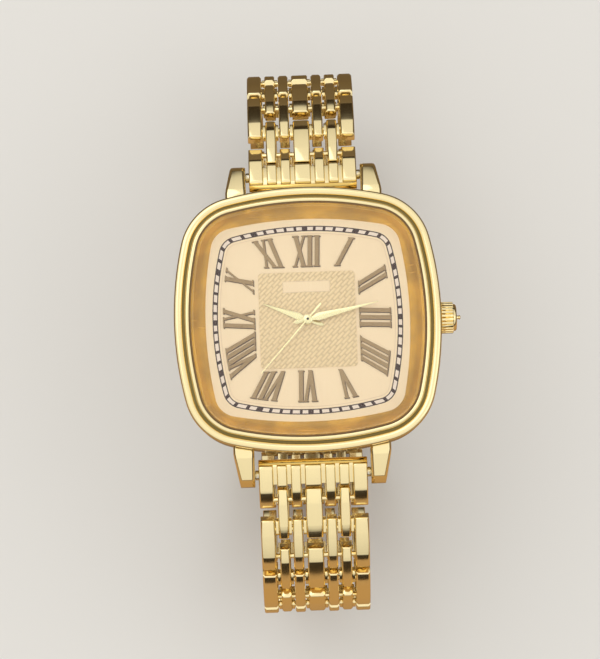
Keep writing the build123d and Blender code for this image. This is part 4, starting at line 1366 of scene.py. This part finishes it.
@dataclass
class Crown:
    """The fluted crown with its domed cap and pip."""

    wardrobe: Wardrobe
    height: float = 3.0
    flutes: int = 26
    flute_depth: float = 0.2
    start: float = 17.7

    def build(self) -> None:
        """Build the crown."""
        steps = self.flutes * 8
        # Place outwards, radius and share of the flutes' depth of each section
        sections = ((0.0, 1.7, 0.0), (0.0, 2.02, 1.0), (0.06, 2.1, 1.0),
                    (1.46, 2.1, 1.0), (1.56, 2.04, 1.0), (1.6, 1.9, 0.3), (1.62, 1.82, 0.0),
                    (1.85, 1.76, 0.0), (2.0, 1.6, 0.0), (2.05, 1.2, 0.0), (2.08, 0.4, 0.0),
                    (2.12, 0.26, 0.0), (2.3, 0.22, 0.0), (2.42, 0.3, 0.0), (2.52, 0.26, 0.0),
                    (2.59, 0.1, 0.0))
        rings = []
        for place, radius, depth in sections:
            ring = []
            for step in range(steps):
                angle = 2 * math.pi * step / steps
                valley = max(0.0, math.cos(angle * self.flutes)) ** 3
                reach = radius - self.flute_depth * depth * valley
                ring.append(Vector((self.start + place, reach * math.cos(angle),
                                    self.height + reach * math.sin(angle))) * MM)
            rings.append(ring)
        knob = loft("fluted_crown", rings)
        soften(knob, 0.0)
        self.wardrobe.mount(knob, "crown", ["crown"], "crown_gold")


# Bracelet


@dataclass
class Bracelet:
    """The rows of links, the pins and the two end links."""

    wardrobe: Wardrobe
    frame: dict
    widths: tuple[float, ...] = (1.9, 1.35, 1.35, 2.2, 1.35, 1.35, 1.9)
    gap: float = 0.5
    pitch: float = 4.2
    overhang: float = 1.8
    half: float = 1.1
    drop: float = 0.45
    flat: float = 1.7
    rows: int = 12
    pin_radius: float = 0.34
    start_gap: float = 0.2
    inner_short: float = 0.55

    def _pivots(self) -> list[Vector]:
        """Read the pivots from the frame and mirror them to the twelve o'clock half.

        Returns:
            The pivots from the spring bar to the clasp.
        """
        joints = {joint["name"]: joint for joint in self.frame["record"]["behaviour"]["joints"]}
        names = ["lug_hinge_6", *(f"link_hinge_6_{row:02d}" for row in range(1, self.rows + 1)),
                 "blade_hinge"]
        places = [joints[name]["pos_m"] for name in names]
        return [Vector((x, -y, z)) for x, y, z in places]

    def reach(self) -> float:
        """Half the width of the band."""
        return (sum(self.widths) + (len(self.widths) - 1) * self.gap) / 2

    def columns(self) -> list[Point]:
        """Lay the columns of links across the band.

        Returns:
            Where each column starts and ends.
        """
        left = -self.reach()
        spans = []
        for width in self.widths:
            spans.append((left, left + width))
            left += width + self.gap
        return spans

    def _bar(self, left: float, right: float, start: float, end: float) -> bpy.types.Object:
        """Make one link, a bar with a crowned top.

        Args:
            left: its left side across the band.
            right: its right side.
            start: its end towards the case.
            end: its end away from the case.

        Returns:
            The link.
        """
        middle = (start + end) / 2
        flat = self.flat * (end - start) / (self.pitch + 2 * self.overhang)
        ends = self.half - self.drop
        sections = (
            (start, ends - 0.12, 0.4, 0.24), (start + 0.1, ends + 0.01, 0.3, 0.24),
            (middle - flat - 0.1, self.half - 0.015, 0.0, 0.16),
            (middle - flat + 0.1, self.half, 0.0, 0.14), (middle, self.half, 0.0, 0.12),
            (middle + flat - 0.1, self.half, 0.0, 0.14),
            (middle + flat + 0.1, self.half - 0.015, 0.0, 0.16),
            (end - 0.1, ends + 0.01, 0.3, 0.24), (end, ends - 0.12, 0.4, 0.24))
        rings = []
        for y, top, foot, edge in sections:
            low = -self.half + foot
            side = top - edge
            rings.append([Vector((x, y, z)) * MM for x, z in (
                (left + 0.1, low), (left, low + 0.1), (left, side), (left + edge, top),
                (right - edge, top), (right, side), (right, low + 0.1), (right - 0.1, low))])
        bar = loft("link", rings)
        soften(bar, 0.045, 2, 14.0)
        return bar

    def _pin(self, place: float) -> bpy.types.Object:
        """Make a pin across the band with slightly domed ends.

        Args:
            place: place of the pin along the row.

        Returns:
            The pin.
        """
        reach = self.reach()
        pin = rod("pin", [(-reach, 0.2), (-reach + 0.05, 0.3), (-reach + 0.12, self.pin_radius),
                          (reach - 0.12, self.pin_radius), (reach - 0.05, 0.3), (reach, 0.2)],
                  24, place)
        soften(pin, 0.0)
        return pin

    def _shoulders(self, left: float, right: float) -> list[bpy.types.Object]:
        """Make the narrow lower strips beside the far end of an inner link.

        Args:
            left: the left side of the link.
            right: its right side.

        Returns:
            Both strips.
        """
        strips = []
        wide = self.gap - 0.1
        start, end = self.pitch - 1.4, self.pitch + 0.9
        for near in (left - wide, right):
            rings = []
            for y, top in ((start, 0.1), (start + 0.2, 0.45), (start + 0.5, 0.55),
                           (end - 0.4, 0.5), (end - 0.1, 0.25), (end, 0.0)):
                rings.append([Vector((x, y, z)) * MM for x, z in (
                    (near, -0.5), (near, top), (near + wide, top), (near + wide, -0.5))])
            strip = loft("shoulder", rings)
            soften(strip, 0.05, 2, 30.0)
            strips.append(strip)
        return strips

    def _inner_row(self) -> bpy.types.Object:
        """Make the three loose links of the second, fourth and sixth columns.

        Returns:
            The row as one piece.
        """
        pieces = []
        for left, right in self.columns()[1::2]:
            pieces.append(self._bar(left, right, self.start_gap - self.overhang,
                                    self.pitch + self.overhang - self.inner_short))
            pieces += self._shoulders(left, right)
        return joined("inner_row", pieces)

    def _outer_row(self, last: bool) -> bpy.types.Object:
        """Make the four links that are joined by their pins.

        Args:
            last: leaves out the second pin, as the clasp's bar takes its place.

        Returns:
            The row as one piece.
        """
        pieces = [self._bar(left, right, self.start_gap - self.overhang,
                            self.pitch + self.overhang)
                  for left, right in self.columns()[::2]]
        pieces.append(self._pin(0.0))
        if not last:
            pieces.append(self._pin(self.pitch))
        return joined("outer_row", pieces)

    def _lobe(self, left: float, right: float, tail: Sequence[Point]) -> bpy.types.Object:
        """Make one lobe of an end link, flat over the spring bar.

        Args:
            left: its left side across the band.
            right: its right side.
            tail: places along the row and heights where it falls away.

        Returns:
            The lobe.
        """
        sections = ((-1.5, 0.7), (-1.35, 0.95), (-1.0, 1.08), (0.4, 1.1), *tail)
        rings = []
        for y, top in sections:
            rings.append([Vector((x, y, z)) * MM for x, z in (
                (left, min(-0.6, top - 0.3)), (left, top - 0.14), (left + 0.14, top),
                (right - 0.14, top), (right, top - 0.14), (right, min(-0.6, top - 0.3)))])
        lobe = loft("lobe", rings)
        soften(lobe, 0.03, 2, 14.0)
        return lobe

    def _end_link(self) -> bpy.types.Object:
        """Make the solid piece on a spring bar with long and short lobes.

        Returns:
            The end link.
        """
        long_tail = ((1.75, 1.08), (2.05, 1.02), (2.4, 0.9), (4.45, -0.14), (4.7, -0.5))
        short_tail = ((1.2, 1.08), (1.45, 0.98), (1.6, 0.7))
        pieces = []
        for place, (left, right) in enumerate(self.columns()):
            pieces.append(self._lobe(left, right, short_tail if place % 2 else long_tail))
        reach = self.reach()
        profile = ((-2.0, -0.4), (-1.55, -0.85), (1.2, -0.85), (1.2, 0.7), (-1.2, 0.72),
                   (-1.5, 0.6), (-1.72, 0.36), (-1.88, 0.06), (-1.98, -0.2))
        web = loft("web", [[Vector((x, y, z)) * MM for y, z in profile]
                           for x in (-reach, reach)])
        soften(web, 0.08, 2, 20.0)
        return joined("end_piece", [*pieces, web, self._pin(3.4)])

    def build(self) -> None:
        """Model each kind of row once and lay its copies along the course."""
        pivots = self._pivots()
        inner, outer = self._inner_row(), self._outer_row(False)
        last, end_link = self._outer_row(True), self._end_link()
        for side in BandSide:
            for step in range(self.rows + 1):
                ahead = pivots[step + 1] - pivots[step]
                heading = math.atan2(ahead.z, ahead.y)
                place = (side.matrix() @ Matrix.Translation(pivots[step])
                         @ Matrix.Rotation(heading, 4, "X"))
                if step == 0:
                    name, source = f"end_link_{side.value}", end_link
                else:
                    name = f"link_row_{side.value}_{step:02d}"
                    source = inner if step % 2 else (last if step == self.rows else outer)
                piece = copied(source, name + "_dressed", place)
                self.wardrobe.mount(piece, name, [name], "bracelet_gold")
        discard([inner, outer, last, end_link])


@dataclass
class Clasp:
    """The fold-over clasp, refined from its solids."""

    wardrobe: Wardrobe
    frame: dict

    def build(self) -> None:
        """Round the edges of each piece and dress it."""
        for node, body, finish in (
                ("clasp_cover", "clasp_cover", "clasp_gold"),
                ("clasp_middle_blade", "middle_blade", "clasp_gold"),
                ("clasp_lower_blade", "lower_blade", "clasp_gold"),
                ("clasp_bar_12", "clasp_cover", "bar_steel"),
                ("clasp_bar_6", "lower_blade", "bar_steel")):
            piece = refined(self.frame["nodes"][node], node + "_dressed", 0.05)
            self.wardrobe.mount(piece, body, [node], finish)


@dataclass
class Movement:
    """The pieces inside the case, which keep their solids."""

    wardrobe: Wardrobe
    frame: dict

    def build(self) -> None:
        """Dress every piece of the movement."""
        for finish, nodes in (
                ("movement_steel", ("winding_stem", "setting_lever", "train_bridge",
                                    "battery_clamp", "motor_stator", "motor_rotor")),
                ("movement_brass", ("main_plate", "third_wheel", "fourth_wheel",
                                    "centre_wheel", "hour_wheel")),
                ("holder_plastic", ("movement_holder",)),
                ("battery_steel", ("battery",)),
                ("board_green", ("circuit_board",)),
                ("coil_copper", ("motor_coil",))):
            for node in nodes:
                self.wardrobe.dress_node(self.frame["nodes"][node], finish)


# Studio


@dataclass
class Studio:
    """The pale floor, the soft light and the camera, in metres.

    The shift is how far the camera stands from the hub, in pixels to the right and up.
    """

    distance: float = 0.45
    elevation: float = 82.0
    roll: float = -2.0
    lens: float = 186.3
    hub: tuple[float, float, float] = (0.0, 0.0, 0.006)
    pixel: float = 0.001 / 7.5
    shift: Point = (-7.7, -10.0)

    def build(self, lowest: float) -> None:
        """Build the whole studio.

        Args:
            lowest: height of the lowest place of the watch.
        """
        self._floor(lowest)
        self._world()
        self._lamps()
        self._camera()
        bpy.context.scene.view_settings.view_transform = "Standard"

    def _floor(self, lowest: float) -> None:
        """The plain pale floor, which metal mirrors darker and warmer as a painted reflection.

        Args:
            lowest: height of the lowest place of the watch.
        """
        deselect()
        bpy.ops.mesh.primitive_plane_add(size=4.0, location=(0.0, 0.0, lowest - 0.0005))
        floor = bpy.context.active_object
        floor.name = "studio_floor"
        material, graph, surface = new_material("pale_floor")
        ray = graph.add("LightPath")
        parts = graph.add("SeparateXYZ", Vector=graph.place())
        # Painted reflection: glossy rays see an orange brown in front that turns dark brown
        # further back, standing for a brown box; the camera sees the plain pale floor.
        far = graph.spread(parts.outputs[1], -0.04, 0.06, 0.0, 1.0)
        mirrored = graph.mix(far, (0.52, 0.32, 0.14, 1.0), (0.13, 0.085, 0.035, 1.0))
        tone = graph.mix(ray.outputs["Is Glossy Ray"], (0.80, 0.78, 0.75, 1.0), mirrored)
        material.node_tree.links.new(tone, surface.inputs["Base Color"])
        surface.inputs["Roughness"].default_value = 0.8
        floor.data.materials.append(material)
        floor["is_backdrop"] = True

    def _world(self) -> None:
        """Soft light that is brightest overhead and falls off towards the horizon."""
        world = bpy.data.worlds.new("soft_studio")
        bpy.context.scene.world = world
        world.use_nodes = True
        graph = Graph(world.node_tree)
        parts = graph.add("SeparateXYZ", Vector=graph.add("TexCoord").outputs["Generated"])
        ramp = graph.add("ValToRGB", Fac=parts.outputs[2])
        stops = ((0.0, (0.03, 0.02, 0.01, 1.0)), (0.2, (0.05, 0.04, 0.03, 1.0)),
                 (0.29, (0.70, 0.69, 0.66, 1.0)), (0.45, (0.88, 0.87, 0.84, 1.0)),
                 (0.8, (0.95, 0.94, 0.91, 1.0)), (0.95, (1.08, 1.07, 1.03, 1.0)))
        elements = ramp.color_ramp.elements
        while len(elements) < len(stops):
            elements.new(0.5)
        for element, (place, colour) in zip(elements, stops):
            element.position = place
            element.color = colour
        ray = graph.add("LightPath")
        tone = graph.mix(ray.outputs["Is Camera Ray"], ramp.outputs[0], (0.93, 0.92, 0.90, 1.0))
        background = world.node_tree.nodes["Background"]
        world.node_tree.links.new(tone, background.inputs["Color"])

    def _lamp(self, name: str, place: Point, height: float, size: float, power: float) -> None:
        """Hang one soft square lamp that points at the watch.

        Args:
            name: name of the lamp.
            place: X and Y of the lamp.
            height: its height.
            size: length of its side.
            power: its power in watts.
        """
        light = bpy.data.lights.new(name, "AREA")
        light.shape = "SQUARE"
        light.size = size
        light.energy = power
        lamp = bpy.data.objects.new(name, light)
        bpy.context.collection.objects.link(lamp)
        lamp.location = (place[0], place[1], height)
        lamp.rotation_mode = "QUATERNION"
        lamp.rotation_quaternion = (-Vector(lamp.location)).to_track_quat("-Z", "Y")

    def _lamps(self) -> None:
        """A wide key from the upper left and a fill from the lower right."""
        self._lamp("key_lamp", (-0.35, 0.45), 0.8, 0.7, 1.1)
        self._lamp("fill_lamp", (0.6, -0.1), 0.7, 0.45, 0.3)

    def _camera(self) -> None:
        """The camera of the photograph: nearly overhead, from the six o'clock side."""
        lean = math.radians(self.elevation)
        back = Vector((0.0, -math.cos(lean), math.sin(lean)))
        camera = bpy.data.objects.new("camera", bpy.data.cameras.new("camera"))
        bpy.context.collection.objects.link(camera)
        camera.data.lens = self.lens
        camera.data.clip_start = 0.01
        camera.rotation_mode = "QUATERNION"
        turn = (-back).to_track_quat("-Z", "Y").to_matrix().to_4x4()
        turn = turn @ Matrix.Rotation(math.radians(self.roll), 4, "Z")
        right, up = turn.col[0].to_3d(), turn.col[1].to_3d()
        camera.rotation_quaternion = turn.to_quaternion()
        camera.location = (Vector(self.hub) + back * self.distance
                           + right * self.shift[0] * self.pixel + up * self.shift[1] * self.pixel)
        bpy.context.scene.camera = camera


def main() -> None:
    """Build the watch and its studio."""
    logging.basicConfig(level=logging.INFO)
    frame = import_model()
    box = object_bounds()
    wardrobe = Wardrobe()
    for part in (Case(wardrobe, frame), Dial(wardrobe), Hands(wardrobe),
                 Crown(wardrobe), Bracelet(wardrobe, frame), Clasp(wardrobe, frame),
                 Movement(wardrobe, frame)):
        part.build()
        LOG.info("built %s", type(part).__name__)
    Studio().build(box[0].z)


if __name__ == "__main__":
    main()
